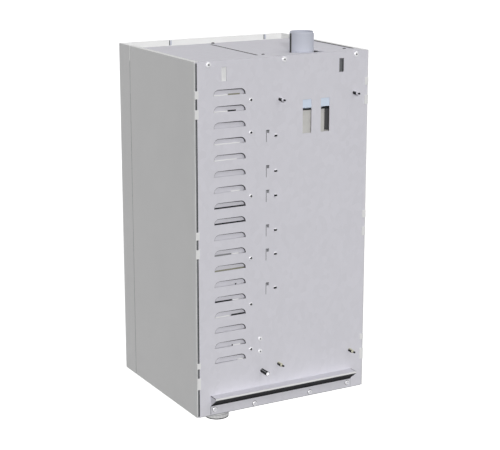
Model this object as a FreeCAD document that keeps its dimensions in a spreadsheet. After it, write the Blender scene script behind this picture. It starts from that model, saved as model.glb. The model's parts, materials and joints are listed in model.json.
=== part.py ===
import FreeCAD, Part
import math
import operator
import os
import Sketcher
from FreeCAD import Placement, Rotation, Vector

# Wall-hung electric boiler. The front (door) faces -Y, the back panel lies in the plane Y = 0,
# and the origin is midway between the two slots by which the back panel hangs.

# Driving dimensions in millimetres. "edge" sizes run from the back panel's +X edge, "level" sizes
# from the cabinet's lower edge, and "depth" sizes from the back panel's outer face to the front.
DIMENSIONS = [
    ("cab_height", 790), ("cab_width", 435), ("cab_depth", 384), ("metal", 1.5),
    ("rear_gap", 3), ("rear_flange", 12), ("rear_top_flange", 38),
    ("hang_level", 760.5), ("hang_edge", 66.25), ("hang_slot_width", 12), ("hang_slot_height", 30),
    ("side_seam", 324.5), ("seam_gap", 1.5), ("side_lip", 18), ("side_top_lip", 12),
    ("louvre_count", 18), ("louvre_pitch", 35.05), ("louvre_edge", 41), ("louvre_width", 77),
    ("louvre_height", 13), ("louvre_corner", 12), ("louvre_depth", 6), ("louvre_draft", 1.5),
    ("louvre_level", 119),
    ("window_offset", 37.7), ("window_pitch", 46.6), ("window_width", 22.3),
    ("window_height", 75), ("window_level", 616),
    ("top_screw_edge", 28.75), ("top_screw_drop", 7.7),
    ("part_edge", 168.15), ("part_flange", 47), ("part_depth", 262), ("part_screw_edge", 130.7),
    ("angle_edge", 169.65), ("angle_level", 312.35), ("angle_pitch", 133.1), ("angle_height", 112),
    ("angle_leg", 34), ("angle_wing", 40), ("tab_pitch", 78), ("tab_height", 26.5), ("tab_drop", 1),
    ("tab_eye", 7), ("angle_screw_edge", 192.7), ("angle_screw_pitch", 78.4),
    ("part_level_1", 139), ("part_level_2", 244), ("part_level_3", 350), ("part_level_4", 490),
    ("part_level_5", 630), ("part_level_6", 701),
    ("rivet_edge", 154.4), ("rivet_level", 129.7), ("rivet_pitch", 29.7),
    ("stud_edge", 160), ("stud_level", 83), ("stud_radius", 4.75), ("stud_reach", 26),
    ("hook_lap", 9), ("hook_low_1", 66), ("hook_high_1", 92), ("hook_low_2", 114),
    ("hook_high_2", 127), ("hook_low_3", 365), ("hook_high_3", 385), ("hook_low_4", 407),
    ("hook_high_4", 424), ("hook_low_5", 669), ("hook_high_5", 689), ("hook_low_6", 712),
    ("hook_high_6", 729), ("spacer_edge", 29), ("spacer_reach", 26),
    ("spacer_top", 46.5), ("spacer_lip", 4), ("spacer_root", 23.6), ("spacer_low", 2.4),
    ("spacer_screw_edge_1", 38.4), ("spacer_screw_edge_2", 140),
    ("spacer_screw_level_1", 13.4), ("spacer_screw_level_2", 8.5),
    ("plate_seam_edge", 173), ("plate_gap", 2), ("plate_depth", 288), ("plate_edge_gap", 0.5),
    ("notch_offset", 29.4), ("notch_depth", 20.5), ("notch_length", 57), ("notch_gap", 1.2),
    ("plate_screw_edge", 187), ("plate_screw_side", 30), ("plate_screw_depth", 46),
    ("rail_drop", 33), ("rail_lap", 14), ("tray_lip_height", 18),
    ("tank_room", 25.8), ("tank_back", 16.4), ("tank_wall", 3),
    ("tank_low", 80), ("tank_high", 712), ("tank_end", 6), ("jacket", 9), ("jacket_gap", 5),
    ("bracket_high", 697), ("bracket_low", 92.5), ("bracket_height", 50), ("bracket_metal", 3),
    ("bracket_wing", 6.9), ("rib_spacing", 80), ("rib_metal", 5),
    ("bolt_inset", 6.1),
    ("bolt_radius", 4), ("bolt_reach", 17), ("bolt_head", 6.5), ("bolt_head_height", 5),
    ("pipe_radius", 27), ("pipe_wall", 2), ("pipe_bevel", 1.2), ("pipe_bevel_height", 3),
    ("flow_offset", 12.6), ("flow_depth", 49), ("flow_rise", 44), ("return_forward", 32),
    ("return_drop", 35),
    ("plug_share", 0.236), ("plug_head_share", 0.295), ("plug_head_height", 12), ("plug_reach", 12),
    ("plug_spread_share", 0.541), ("plug_side_share", 0.197), ("plug_front_share", 0.59),
    ("loop_circle", 14), ("loop_radius", 4), ("loop_length", 500), ("cap_share", 0.266),
    ("cap_height", 36), ("vent_offset_share", 0.413), ("vent_back_share", 0.374), ("vent_radius", 12),
    ("vent_height", 40), ("vent_stem", 6), ("vent_stem_height", 12),
    ("sensor_offset", 24.4), ("sensor_width", 9), ("sensor_depth", 7),
    ("sensor_low", 618), ("sensor_high", 665),
    ("valve_level", 600), ("valve_stub", 9), ("valve_stub_length", 28), ("valve_radius", 15),
    ("valve_length", 34), ("valve_outlet", 8), ("valve_outlet_length", 26), ("valve_spigot", 7),
    ("valve_cap_radius", 16), ("valve_cap_length", 22),
    ("gland_edge", 70), ("gland_depth", 50), ("gland_bore", 14), ("gland_neck", 19),
    ("gland_cap_radius", 27.5), ("gland_cap_top", 15), ("gland_cap_bottom", 25), ("gland_nut", 26),
    ("gland_nut_height", 6), ("gland_thread", 12),
    ("small_screw", 2), ("small_head", 3.2), ("small_head_height", 2.2), ("pan_screw", 2.4),
    ("pan_head", 5), ("pan_head_height", 3), ("screw_length", 7), ("rivet_head", 4),
    ("din_height", 35), ("din_depth", 7.5), ("din_metal", 1), ("din_start", 40), ("din_length", 200),
    ("din_level_low", 400), ("din_level_high", 580),
    ("contactor_width", 45), ("contactor_height", 80), ("contactor_depth", 72),
    ("contactor_pitch", 52), ("contactor_start", 62), ("device_shoulder", 14),
    ("breaker_width", 54), ("breaker_height", 84), ("breaker_depth", 58), ("breaker_start", 58),
    ("toggle_radius", 5), ("toggle_length", 15), ("toggle_width", 40),
    ("block_width", 90), ("block_height", 46), ("block_depth", 40), ("block_start", 130),
    ("limiter_width", 50), ("limiter_height", 50), ("limiter_depth", 36), ("limiter_start", 90),
    ("limiter_level", 250), ("reset_radius", 5), ("reset_reach", 6), ("reset_travel", 2),
    ("door_top_drop", 33), ("door_bend", 3),
    ("fascia_width", 190), ("fascia_height", 110), ("fascia_level", 600), ("fascia_metal", 3),
    ("display_edge", 12), ("display_width", 78), ("display_height", 36), ("display_level", 656),
    ("key_radius", 6), ("key_pitch", 30), ("key_level", 626), ("key_edge", 21), ("key_reach", 2.5),
    ("key_travel", 1.5), ("knob_edge", 142), ("knob_level", 658), ("knob_radius", 19),
    ("knob_height", 16), ("knob_shaft", 3), ("knob_gap", 0.5), ("board_gap", 12), ("board_metal", 1.6),
    ("board_margin", 8), ("pillar_radius", 3), ("relay_width", 28), ("relay_height", 26),
    ("relay_depth", 16), ("relay_rise", 8),
    ("switch_edge", 150), ("switch_level", 530), ("switch_body", 46), ("switch_depth", 42),
    ("switch_plate", 48), ("switch_handle", 18), ("switch_handle_height", 20), ("switch_shaft", 4),
    ("switch_grip", 5),
    ("lock_edge", 32), ("lock_level", 395), ("lock_head", 11), ("lock_barrel", 8), ("lock_head_height", 4),
    ("cam_length", 28), ("cam_width", 14), ("cam_metal", 2.5), ("cam_gap", 3),
    ("hinge_low", 110), ("hinge_high", 640), ("hinge_half", 32), ("hinge_knuckle", 4), ("hinge_pin", 2),
    ("hinge_leaf", 24), ("hinge_slot", 0.4), ("hinge_skin", 0.3),
    ("run_gap", 0.08), ("fit_gap", 0.15), ("move_gap", 0.35),
]

OPERATIONS = {"+": operator.add, "-": operator.sub, "*": operator.mul, "/": operator.truediv}


class Size:
    """A number together with the sheet expression that it comes from."""

    def __init__(self, text, value):
        self.text = text
        self.value = value

    def __add__(self, other):
        return combine(self, "+", other)

    def __radd__(self, other):
        return combine(other, "+", self)

    def __sub__(self, other):
        return combine(self, "-", other)

    def __rsub__(self, other):
        return combine(other, "-", self)

    def __mul__(self, other):
        return combine(self, "*", other)

    def __rmul__(self, other):
        return combine(other, "*", self)

    def __truediv__(self, other):
        return combine(self, "/", other)

    def __neg__(self):
        return combine(0, "-", self)


def sized(thing):
    if isinstance(thing, Size):
        return thing
    return Size("(%r)" % float(thing), float(thing))


def combine(left, sign, right):
    left = sized(left)
    right = sized(right)
    text = "(%s %s %s)" % (left.text, sign, right.text)
    return Size(text, OPERATIONS[sign](left.value, right.value))


def root(square):
    return Size("sqrt(%s)" % square.text, math.sqrt(square.value))


class Names:
    """The sheet's sizes as attributes."""


doc = FreeCAD.newDocument("electric_boiler")
sheet = doc.addObject("Spreadsheet::Sheet", "dims")
d = Names()
for row, (name, number) in enumerate(DIMENSIONS, start=1):
    sheet.set("A%d" % row, name)
    sheet.set("B%d" % row, str(number))
    sheet.setAlias("B%d" % row, name)
    setattr(d, name, Size("dims." + name, float(number)))
doc.recompute()

FLOOR = -d.hang_level
SIDE_OUT = d.cab_width / 2
SIDE_IN = SIDE_OUT - d.metal
REAR_HALF = SIDE_IN - d.rear_gap


def across(edge):
    """X of a feature that is measured from the back panel's +X edge."""
    return REAR_HALF - edge


def level(height):
    """Z of a feature that is measured from the cabinet's lower edge."""
    return FLOOR + height


TOP = d.cab_height - d.hang_level
REAR_IN = -d.metal
PLATE_TOP = TOP - d.metal
PLATE_LOW = PLATE_TOP - d.metal
DOOR_OUT = -d.cab_depth
DOOR_IN = DOOR_OUT + d.metal
FASCIA_OUT = DOOR_OUT - d.fascia_metal

# The tank stands midway between the -X edge and the partition's angles, and leaves the same
# room on both sides.
TANK_LIMIT = across(d.angle_edge + d.metal)
TANK_X = (TANK_LIMIT - REAR_HALF) / 2
TANK_RADIUS = (TANK_LIMIT + REAR_HALF) / 2 - d.tank_room
TANK_Y = -(d.tank_back + TANK_RADIUS)
FLOW_X = TANK_X + d.flow_offset
FLOW_Y = -d.flow_depth
RETURN_Y = TANK_Y - d.return_forward

TURNS = {"x": Rotation(Vector(0, 1, 0), 90), "y": Rotation(Vector(1, 0, 0), -90), "z": Rotation()}
TO_BACK = Rotation(Vector(1, 0, 0), -90)
TO_FRONT = Rotation(Vector(1, 0, 0), 90)
DOWN = Rotation(Vector(1, 0, 0), 180)
nodes = []


def numbered(name, count):
    """The sheet's sizes name_1, name_2 and so on."""
    return [getattr(d, "%s_%d" % (name, index)) for index in range(1, count + 1)]


def bind(item, prop, size):
    item.setExpression(prop, sized(size).text)


def place(item, x, y, z, turn=TURNS["z"]):
    spot = [sized(x), sized(y), sized(z)]
    item.Placement = Placement(Vector(*[part.value for part in spot]), turn)
    for axis, part in zip("xyz", spot):
        bind(item, "Placement.Base." + axis, part)
    return item


def box(name, x, y, z):
    """A block between two coordinates along each axis."""
    item = doc.addObject("Part::Box", name)
    for prop, (low, high) in zip(("Length", "Width", "Height"), (x, y, z)):
        bind(item, prop, sized(high) - low)
    return place(item, x[0], y[0], z[0])


def cylinder(name, axis, radius, span, first, second):
    """A round bar along one axis, between two coordinates of that axis."""
    item = doc.addObject("Part::Cylinder", name)
    bind(item, "Radius", radius)
    bind(item, "Height", sized(span[1]) - span[0])
    spots = {"x": (span[0], first, second), "y": (first, span[0], second), "z": (first, second, span[0])}
    return place(item, *spots[axis], TURNS[axis])


def fuse(name, *items):
    item = doc.addObject("Part::MultiFuse", name)
    item.Shapes = list(items)
    return item


def cut(name, base, *tools):
    item = doc.addObject("Part::Cut", name)
    item.Base = base
    item.Tool = tools[0] if len(tools) == 1 else fuse(name + "_tools", *tools)
    return item


def group(name, items):
    item = doc.addObject("Part::Compound", name)
    item.Links = list(items)
    return item


def node(label, item):
    item.Label = label
    nodes.append(item)
    return item


def body_of(name):
    return doc.addObject("PartDesign::Body", name)


def sketch_on(body, name, plane, depth=0):
    """A sketch on one of the body's own planes, moved along the plane's normal."""
    sketch = body.newObject("Sketcher::SketchObject", name)
    planes = [item for item in body.Origin.OriginFeatures if item.Role == plane]
    sketch.AttachmentSupport = [(planes[0], "")]
    sketch.MapMode = "FlatFace"
    bind(sketch, "AttachmentOffset.Base.z", depth)
    return sketch


def constrain(sketch, kind, where, size):
    size = sized(size)
    index = sketch.addConstraint(Sketcher.Constraint(kind, *where, size.value))
    sketch.setExpression("Constraints[%d]" % index, size.text)


def outline(sketch, points):
    """A closed outline, counter-clockwise. A point is (x, y), or (x, y, centre x, centre y, radius)
    where a round stretch leads to it from the point before."""
    points = [[sized(part) for part in point] for point in points]
    first = sketch.GeometryCount
    count = len(points)
    for index in range(count):
        start = points[index]
        end = points[(index + 1) % count]
        ends = [Vector(start[0].value, start[1].value, 0), Vector(end[0].value, end[1].value, 0)]
        if len(end) == 2:
            sketch.addGeometry(Part.LineSegment(*ends), False)
            continue
        middle = Vector(end[2].value, end[3].value, 0)
        angles = [math.atan2((tip - middle).y, (tip - middle).x) for tip in ends]
        circle = Part.Circle(middle, Vector(0, 0, 1), end[4].value)
        sketch.addGeometry(Part.ArcOfCircle(circle, *angles), False)
    for index in range(count):
        following = first + (index + 1) % count
        sketch.addConstraint(Sketcher.Constraint("Coincident", first + index, 2, following, 1))
    for index, point in enumerate(points):
        constrain(sketch, "DistanceX", (-1, 1, first + index, 1), point[0])
        constrain(sketch, "DistanceY", (-1, 1, first + index, 1), point[1])
        if len(point) > 2:
            constrain(sketch, "Radius", (first + (index - 1) % count,), point[4])


def rectangle(sketch, x, y):
    outline(sketch, [(x[0], y[0]), (x[1], y[0]), (x[1], y[1]), (x[0], y[1])])


def ring(sketch, x, y, radius):
    radius = sized(radius)
    spot = Vector(sized(x).value, sized(y).value, 0)
    index = sketch.addGeometry(Part.Circle(spot, Vector(0, 0, 1), radius.value), False)
    constrain(sketch, "DistanceX", (-1, 1, index, 3), x)
    constrain(sketch, "DistanceY", (-1, 1, index, 3), y)
    constrain(sketch, "Radius", (index,), radius)


def pad(body, sketch, length, reverse=False):
    feature = body.newObject("PartDesign::Pad", sketch.Name + "_pad")
    feature.Profile = sketch
    feature.Reversed = reverse
    bind(feature, "Length", length)
    return feature


def pocket(body, sketch, length, reverse=False):
    feature = body.newObject("PartDesign::Pocket", sketch.Name + "_pocket")
    feature.Profile = sketch
    feature.Reversed = reverse
    bind(feature, "Length", length)
    return feature


def extruded(name, plane, points, length, depth=0, reverse=False):
    body = body_of(name)
    sketch = sketch_on(body, name + "_outline", plane, depth)
    outline(sketch, points)
    pad(body, sketch, length, reverse)
    return body


def turned(name, points):
    """A solid of revolution about its own Z axis. Points are (radius, height), counter-clockwise."""
    body = body_of(name)
    sketch = sketch_on(body, name + "_half", "XZ_Plane")
    outline(sketch, points)
    feature = body.newObject("PartDesign::Revolution", name + "_turn")
    feature.Profile = sketch
    feature.ReferenceAxis = (sketch, ["V_Axis"])
    feature.Angle = 360
    return body


def screw(name, shank, head, head_height, length, x, y, z, turn):
    """A pan-head screw with a small round recess; its head rests on the plane through x, y, z."""
    shank = shank - d.fit_gap
    recess = head_height * 0.45
    bevel = head_height * 0.35
    points = [
        (0, -length), (shank, -length), (shank, 0), (head, 0), (head, head_height - bevel),
        (head - bevel, head_height), (recess, head_height), (recess, head_height - recess),
        (0, head_height - recess),
    ]
    return place(turned(name, points), x, y, z, turn)


def small_screw(name, x, y, z, turn):
    return screw(name, d.small_screw, d.small_head, d.small_head_height, d.screw_length, x, y, z, turn)


def pan_screw(name, x, y, z, turn):
    return screw(name, d.pan_screw, d.pan_head, d.pan_head_height, d.screw_length, x, y, z, turn)


def top_screw_spots():
    return [(across(d.top_screw_edge) * side, TOP - d.top_screw_drop) for side in (1, 0, -1)]


def partition_screw_spots():
    return [(across(d.part_screw_edge), level(height)) for height in numbered("part_level", 6)]


def angle_middles():
    return [level(d.angle_level + d.angle_pitch * index) for index in range(3)]


def angle_screw_spots(middle):
    half = d.angle_screw_pitch / 2
    return [(across(d.angle_screw_edge), middle - half), (across(d.angle_screw_edge), middle + half)]


def tab_middles(middle):
    half = d.tab_pitch / 2
    return [middle - half + d.tab_drop, middle + half + d.tab_drop]


def rivet_spots():
    return [(across(d.rivet_edge), level(d.rivet_level + d.rivet_pitch * index)) for index in range(2)]


def spacer_screw_spots():
    spots = []
    for edge, height in zip(numbered("spacer_screw_edge", 2), numbered("spacer_screw_level", 2)):
        for side in (1, -1):
            spots.append((across(edge) * side, level(height)))
    return spots


def bolt_spots(height):
    half = TANK_RADIUS - d.bolt_inset
    return [(TANK_X + half, level(height)), (TANK_X - half, level(height))]


def stud_spot():
    return (across(d.stud_edge), level(d.stud_level))


# Back panel

def louvre_outline(body, name, depth, grow, draft):
    """The D shape of one louvre: straight below, with rounded upper corners."""
    sketch = sketch_on(body, name, "XZ_Plane", depth)
    low = level(d.louvre_level)
    high = low + d.louvre_height + grow - draft
    right = across(d.louvre_edge) + grow - draft
    left = across(d.louvre_edge + d.louvre_width) - grow + draft
    bend = d.louvre_corner + grow - draft
    outline(sketch, [
        (left, low), (right, low), (right, high - bend),
        (right - bend, high, right - bend, high - bend, bend),
        (left + bend, high), (left, high - bend, left + bend, high - bend, bend),
    ])
    return sketch


def louvres(body):
    """Louvres pressed inward, open along their lower edge."""
    backs = [
        louvre_outline(body, "louvre_back_near", d.metal * 0.9, d.metal, 0),
        louvre_outline(body, "louvre_back_far", d.louvre_depth + d.metal, d.metal, d.louvre_draft),
    ]
    hollows = [
        louvre_outline(body, "louvre_mouth", 0, 0, 0),
        louvre_outline(body, "louvre_bottom", d.louvre_depth, 0, d.louvre_draft),
    ]
    features = []
    for kind, sketches in (("Additive", backs), ("Subtractive", hollows)):
        loft = body.newObject("PartDesign::%sLoft" % kind, "louvre_" + kind.lower())
        loft.Profile = sketches[0]
        loft.Sections = [sketches[1]]
        loft.Ruled = True
        features.append(loft)
    doc.recompute()
    pattern = body.newObject("PartDesign::LinearPattern", "louvre_row")
    pattern.Originals = features
    pattern.Direction = (backs[0], ["V_Axis"])
    bind(pattern, "Length", d.louvre_pitch * (d.louvre_count - 1))
    bind(pattern, "Occurrences", d.louvre_count)
    body.Tip = pattern


def rear_holes(body):
    sketch = sketch_on(body, "rear_holes", "XZ_Plane", -d.metal)
    for x, z in top_screw_spots():
        ring(sketch, x, z, d.pan_screw)
    for x, z in partition_screw_spots():
        ring(sketch, x, z, d.small_screw)
    for x, z in rivet_spots():
        ring(sketch, x, z, d.small_screw)
    for x, z in spacer_screw_spots():
        ring(sketch, x, z, d.small_screw)
    for height in (d.bracket_low, d.bracket_high):
        for x, z in bolt_spots(height):
            ring(sketch, x, z, d.bolt_radius + d.fit_gap)
    ring(sketch, *stud_spot(), d.stud_radius + d.fit_gap)
    for side in (-1, 1):
        middle = across(d.hang_edge) * side
        half = d.hang_slot_width / 2
        rectangle(sketch, (middle - half, middle + half), (-d.hang_slot_height / 2, d.hang_slot_height / 2))
    for index in range(2):
        right = TANK_X + d.window_offset - d.window_pitch * index
        low = level(d.window_level)
        rectangle(sketch, (right - d.window_width, right), (low, low + d.window_height))
    for middle in angle_middles():
        for x, z in angle_screw_spots(middle):
            ring(sketch, x, z, d.small_screw)
        for centre in tab_middles(middle):
            tab_slot(sketch, centre)
    pocket(body, sketch, d.metal * 3, True)


def tab_slot(sketch, centre):
    """A slit for one hooked tab, with a wider eye at its upper end."""
    right = across(d.angle_edge) + d.fit_gap
    left = across(d.angle_edge + d.metal) - d.fit_gap
    eye = left - d.tab_eye + d.metal
    low = centre - d.tab_height / 2
    high = centre + d.tab_height / 2
    outline(sketch, [
        (left, low), (right, low), (right, high), (eye, high), (eye, high - d.tab_eye),
        (left, high - d.tab_eye),
    ])


def make_rear_panel():
    body = body_of("rear_panel")
    face = sketch_on(body, "rear_face", "XZ_Plane")
    rectangle(face, (-REAR_HALF, REAR_HALF), (FLOOR, TOP))
    pad(body, face, d.metal)
    flanges = sketch_on(body, "rear_flanges", "XZ_Plane")
    for side in (-1, 1):
        edges = [REAR_HALF * side, (REAR_HALF - d.metal) * side]
        if side > 0:
            edges.reverse()
        rectangle(flanges, edges, (level(d.metal * 2), PLATE_LOW - d.plate_edge_gap))
    pad(body, flanges, d.rear_flange)
    lip = sketch_on(body, "rear_top_lip", "XZ_Plane")
    half = SIDE_OUT - d.side_top_lip - d.plate_edge_gap
    rectangle(lip, (-half, half), (PLATE_TOP, TOP))
    pad(body, lip, d.rear_top_flange)
    notch = sketch_on(body, "rear_notch", "XY_Plane", TOP + d.metal)
    outline(notch, notch_points())
    pocket(body, notch, d.metal * 3)
    rear_holes(body)
    louvres(body)
    return node("rear_panel", body)


def notch_points():
    """The flow pipe's cut-out: half round on the +X side, square on the other."""
    far = TANK_X - d.notch_offset
    low = -(d.notch_depth + d.notch_length)
    high = -d.notch_depth
    radius = d.notch_length / 2
    middle = low + radius
    return [(far, low), (FLOW_X, low), (FLOW_X + radius, middle, FLOW_X, middle, radius),
            (FLOW_X, high, FLOW_X, middle, radius), (far, high)]


def make_side_panel(label, side):
    """A side wall with a recessed back lip, a front lip, a top lip and hooked tabs at the back."""
    def span(inner, outer):
        return (inner, outer) if side > 0 else (-outer, -inner)

    front = -(d.side_seam - d.seam_gap / 2)
    back_lip = -(d.rear_flange + d.metal)
    walls = [
        box(label + "_wall", span(SIDE_IN, SIDE_OUT), (front, 0), (FLOOR, TOP)),
        box(label + "_front_lip", span(SIDE_OUT - d.side_lip, SIDE_OUT), (front, front + d.metal),
            (level(d.metal), TOP - d.rail_drop)),
        box(label + "_back_lip", span(SIDE_OUT - d.side_lip, SIDE_OUT), (back_lip, back_lip + d.metal),
            (level(d.metal), PLATE_LOW)),
        box(label + "_top_lip", span(SIDE_OUT - d.side_top_lip, SIDE_OUT), (front, REAR_IN * 2),
            (PLATE_TOP, TOP)),
    ]
    for low, high in zip(numbered("hook_low", 6), numbered("hook_high", 6)):
        walls.append(box(label + "_hook", span(SIDE_OUT - d.hook_lap, SIDE_OUT), (0, d.metal),
                         (level(low), level(high))))
    return node(label, fuse(label, *walls))


def make_top_plate(label, right, left):
    """One flat top plate; the pipe's notch is cut where the plate reaches it."""
    plate = box(label + "_sheet", (left, right), (-d.plate_depth, REAR_IN - d.plate_edge_gap),
                (PLATE_LOW, PLATE_TOP))
    tools = [extruded(label + "_notch", "XY_Plane", notch_points(), d.metal * 3, PLATE_LOW - d.metal)]
    for x, y in plate_screw_spots():
        tools.append(cylinder(label + "_hole", "z", d.small_screw, (PLATE_LOW - d.metal, TOP), x, y))
    return node(label, cut(label, plate, *tools))


def plate_screw_spots():
    spots = []
    for x in (across(d.plate_screw_edge), -across(d.plate_screw_side)):
        for depth in (d.plate_screw_depth, d.plate_depth - d.rail_lap / 2):
            spots.append((x, -depth))
    return spots


def make_top_plates():
    seam = across(d.plate_seam_edge)
    outer = SIDE_IN - d.plate_edge_gap
    make_top_plate("top_plate_electric", outer, seam + d.plate_gap / 2)
    make_top_plate("top_plate_hydraulic", seam - d.plate_gap / 2, -outer)


def make_bottom_tray():
    front = -(d.side_seam - d.seam_gap / 2) + d.metal
    inner = SIDE_OUT - d.side_lip - d.plate_edge_gap
    floor = box("tray_floor", (-SIDE_IN, SIDE_IN), (front, REAR_IN), (FLOOR, level(d.metal)))
    front_lip = box("tray_front_lip", (-inner, inner), (front, front + d.metal),
                    (FLOOR, level(d.tray_lip_height)))
    rear_lip = box("tray_rear_lip", (-inner, inner), (REAR_IN - d.metal, REAR_IN),
                   (FLOOR, level(d.tray_lip_height)))
    tools = [
        cylinder("tray_gland_hole", "z", d.gland_neck + d.fit_gap, (FLOOR - d.metal, level(d.tray_lip_height)),
                 across(d.gland_edge), -d.gland_depth),
        cylinder("tray_return_hole", "z", d.pipe_radius + d.notch_gap,
                 (FLOOR - d.metal, level(d.tray_lip_height)), TANK_X, RETURN_Y),
    ]
    for x, z in spacer_screw_spots():
        tools.append(cylinder("tray_screw_hole", "y", d.small_screw,
                              (REAR_IN - d.metal * 2, 0), x, z))
    return node("bottom_tray", cut("bottom_tray", fuse("tray", floor, front_lip, rear_lip), *tools))


def make_front_rail():
    """A cross rail below the top plates' front edge, with a recessed shelf behind the door."""
    back = -d.plate_depth
    front = -(d.side_seam - d.seam_gap / 2)
    low = TOP - d.rail_drop
    points = [
        (front, low), (back - d.metal, low), (back, low), (back, PLATE_LOW - d.metal),
        (back + d.rail_lap, PLATE_LOW - d.metal), (back + d.rail_lap, PLATE_LOW),
        (back - d.metal, PLATE_LOW), (back - d.metal, low + d.metal), (front, low + d.metal),
    ]
    body = extruded("front_rail", "YZ_Plane", points, SIDE_IN * 2, -SIDE_IN)
    holes = []
    for x, y in plate_screw_spots():
        holes.append(cylinder("rail_hole", "z", d.small_screw, (PLATE_LOW - d.metal * 2, TOP), x, y))
    return node("front_top_rail", cut("front_top_rail", body, *holes))


def make_partition():
    """The wall between the electric and the hydraulic side, with a flange on the back panel."""
    left = across(d.part_edge + d.metal)
    right = across(d.part_edge)
    low = level(d.metal)
    high = PLATE_LOW - d.metal
    wall = box("partition_sheet", (left, right), (-d.part_depth, REAR_IN), (low, high))
    flange = box("partition_flange", (left, right + d.part_flange), (REAR_IN - d.metal, REAR_IN),
                 (level(d.tray_lip_height + d.metal), high))
    foot = box("partition_relief", (left - d.metal, right + d.metal), (REAR_IN - d.metal * 2, 0),
               (FLOOR, level(d.tray_lip_height + d.metal)))
    tools = [foot]
    for x, z in partition_screw_spots() + rivet_spots():
        tools.append(cylinder("partition_hole", "y", d.small_screw, (-d.metal * 3, 0), x, z))
    tools.append(cylinder("partition_stud_hole", "y", d.stud_radius + d.fit_gap, (-d.metal * 3, 0),
                          *stud_spot()))
    return node("partition_wall", cut("partition_wall", fuse("partition", wall, flange), *tools))


def make_angle(number, middle):
    """A stiffening angle: one leg on the back panel, one wing on the partition, two hooked tabs."""
    label = "partition_angle_%d" % number
    right = across(d.angle_edge)
    inner = right - d.metal
    half = d.angle_height / 2
    span = (middle - half, middle + half)
    items = [
        box(label + "_wing", (inner, right), (REAR_IN - d.angle_wing, REAR_IN), span),
        box(label + "_leg", (inner - d.angle_leg, right), (REAR_IN - d.metal, REAR_IN), span),
    ]
    for centre in tab_middles(middle):
        low = centre - d.tab_height / 2 + d.fit_gap
        items.append(box(label + "_tab", (inner, right), (REAR_IN, d.metal * 0.4),
                         (low, low + d.tab_height - d.tab_eye)))
    tools = [cylinder(label + "_hole", "y", d.small_screw, (-d.metal * 3, 0), x, z)
             for x, z in angle_screw_spots(middle)]
    return node(label, cut(label, fuse(label + "_bent", *items), *tools))


def make_wall_spacer():
    """A bent profile under the back panel's lower edge; its ridge keeps the boiler off the wall."""
    reach = d.spacer_reach
    low = level(d.spacer_low)
    high = level(d.spacer_top)
    root_level = level(d.spacer_root)
    inside = [(0, high - d.metal), (reach - d.metal, high - d.metal),
              (reach - d.metal, high - d.spacer_lip + d.metal * 0.6), (0, root_level + d.metal)]
    points = [(0, low), (d.metal, low), (d.metal, root_level), (reach, high - d.spacer_lip),
              (reach, high), (0, high), *inside]
    half = across(d.spacer_edge)
    profile = extruded("spacer_profile", "YZ_Plane", points, half * 2, -half)
    ends = [extruded("spacer_end", "YZ_Plane", list(reversed(inside)), d.metal, start)
            for start in (-half, half - d.metal)]
    holes = [cylinder("spacer_hole", "y", d.small_screw, (-d.metal, d.metal * 2), x, z)
             for x, z in spacer_screw_spots()]
    return node("wall_spacer", cut("wall_spacer", fuse("spacer_closed", profile, *ends), *holes))


# Fasteners of the casing

def make_casing_screws():
    node("top_screws", group("top_screws", [
        pan_screw("top_screw", x, 0, z, TO_BACK) for x, z in top_screw_spots()]))
    node("partition_screws", group("partition_screws", [
        small_screw("partition_screw", x, 0, z, TO_BACK) for x, z in partition_screw_spots()]))
    dark = []
    for middle in angle_middles():
        for x, z in angle_screw_spots(middle):
            dark.append(small_screw("angle_screw", x, 0, z, TO_BACK))
    for x, y in plate_screw_spots():
        dark.append(small_screw("plate_screw", x, y, PLATE_TOP, TURNS["z"]))
    node("dark_screws", group("dark_screws", dark))
    node("rivets", group("rivets", [
        screw("rivet", d.small_screw, d.rivet_head, d.small_head_height, d.metal * 3, x, 0, z, TO_BACK)
        for x, z in rivet_spots()]))
    node("spacer_screws", group("spacer_screws", [
        screw("spacer_screw", d.small_screw, d.rivet_head, d.small_head_height, d.screw_length,
              x, d.metal, z, TO_BACK)
        for x, z in spacer_screw_spots()]))


def make_tank_bolts():
    """Bolts from inside, through the tank's brackets and the back panel, with a dog point."""
    head = -(d.metal + d.bracket_metal)
    tip = d.bolt_radius * 0.4
    points = [
        (0, head - d.bolt_head_height), (d.bolt_head, head - d.bolt_head_height), (d.bolt_head, head),
        (d.bolt_radius, head), (d.bolt_radius, d.bolt_reach - 1), (d.bolt_radius - 1, d.bolt_reach),
        (tip, d.bolt_reach), (tip, d.bolt_reach + 2), (0, d.bolt_reach + 2),
    ]
    for label, height in (("tank_bolts_upper", d.bracket_high), ("tank_bolts_lower", d.bracket_low)):
        bolts = [place(turned(label + "_bolt", points), x, 0, z, TO_BACK) for x, z in bolt_spots(height)]
        node(label, group(label, bolts))


def make_earth_stud():
    back = -(d.metal * 2 + 10)
    radius = d.stud_radius
    points = [(0, back), (radius, back), (radius, d.stud_reach - 1), (radius - 1, d.stud_reach),
              (0, d.stud_reach)]
    x, z = stud_spot()
    node("earth_stud", place(turned("earth_stud", points), x, 0, z, TO_BACK))
    points = [(radius + d.fit_gap, 0), (radius * 1.6, 0), (radius * 1.6, 5), (radius + d.fit_gap, 5)]
    nut = turned("earth_nut", points)
    node("earth_nut", place(nut, x, -d.metal * 2, z, TO_FRONT))


# Cable gland in the bottom tray

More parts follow.
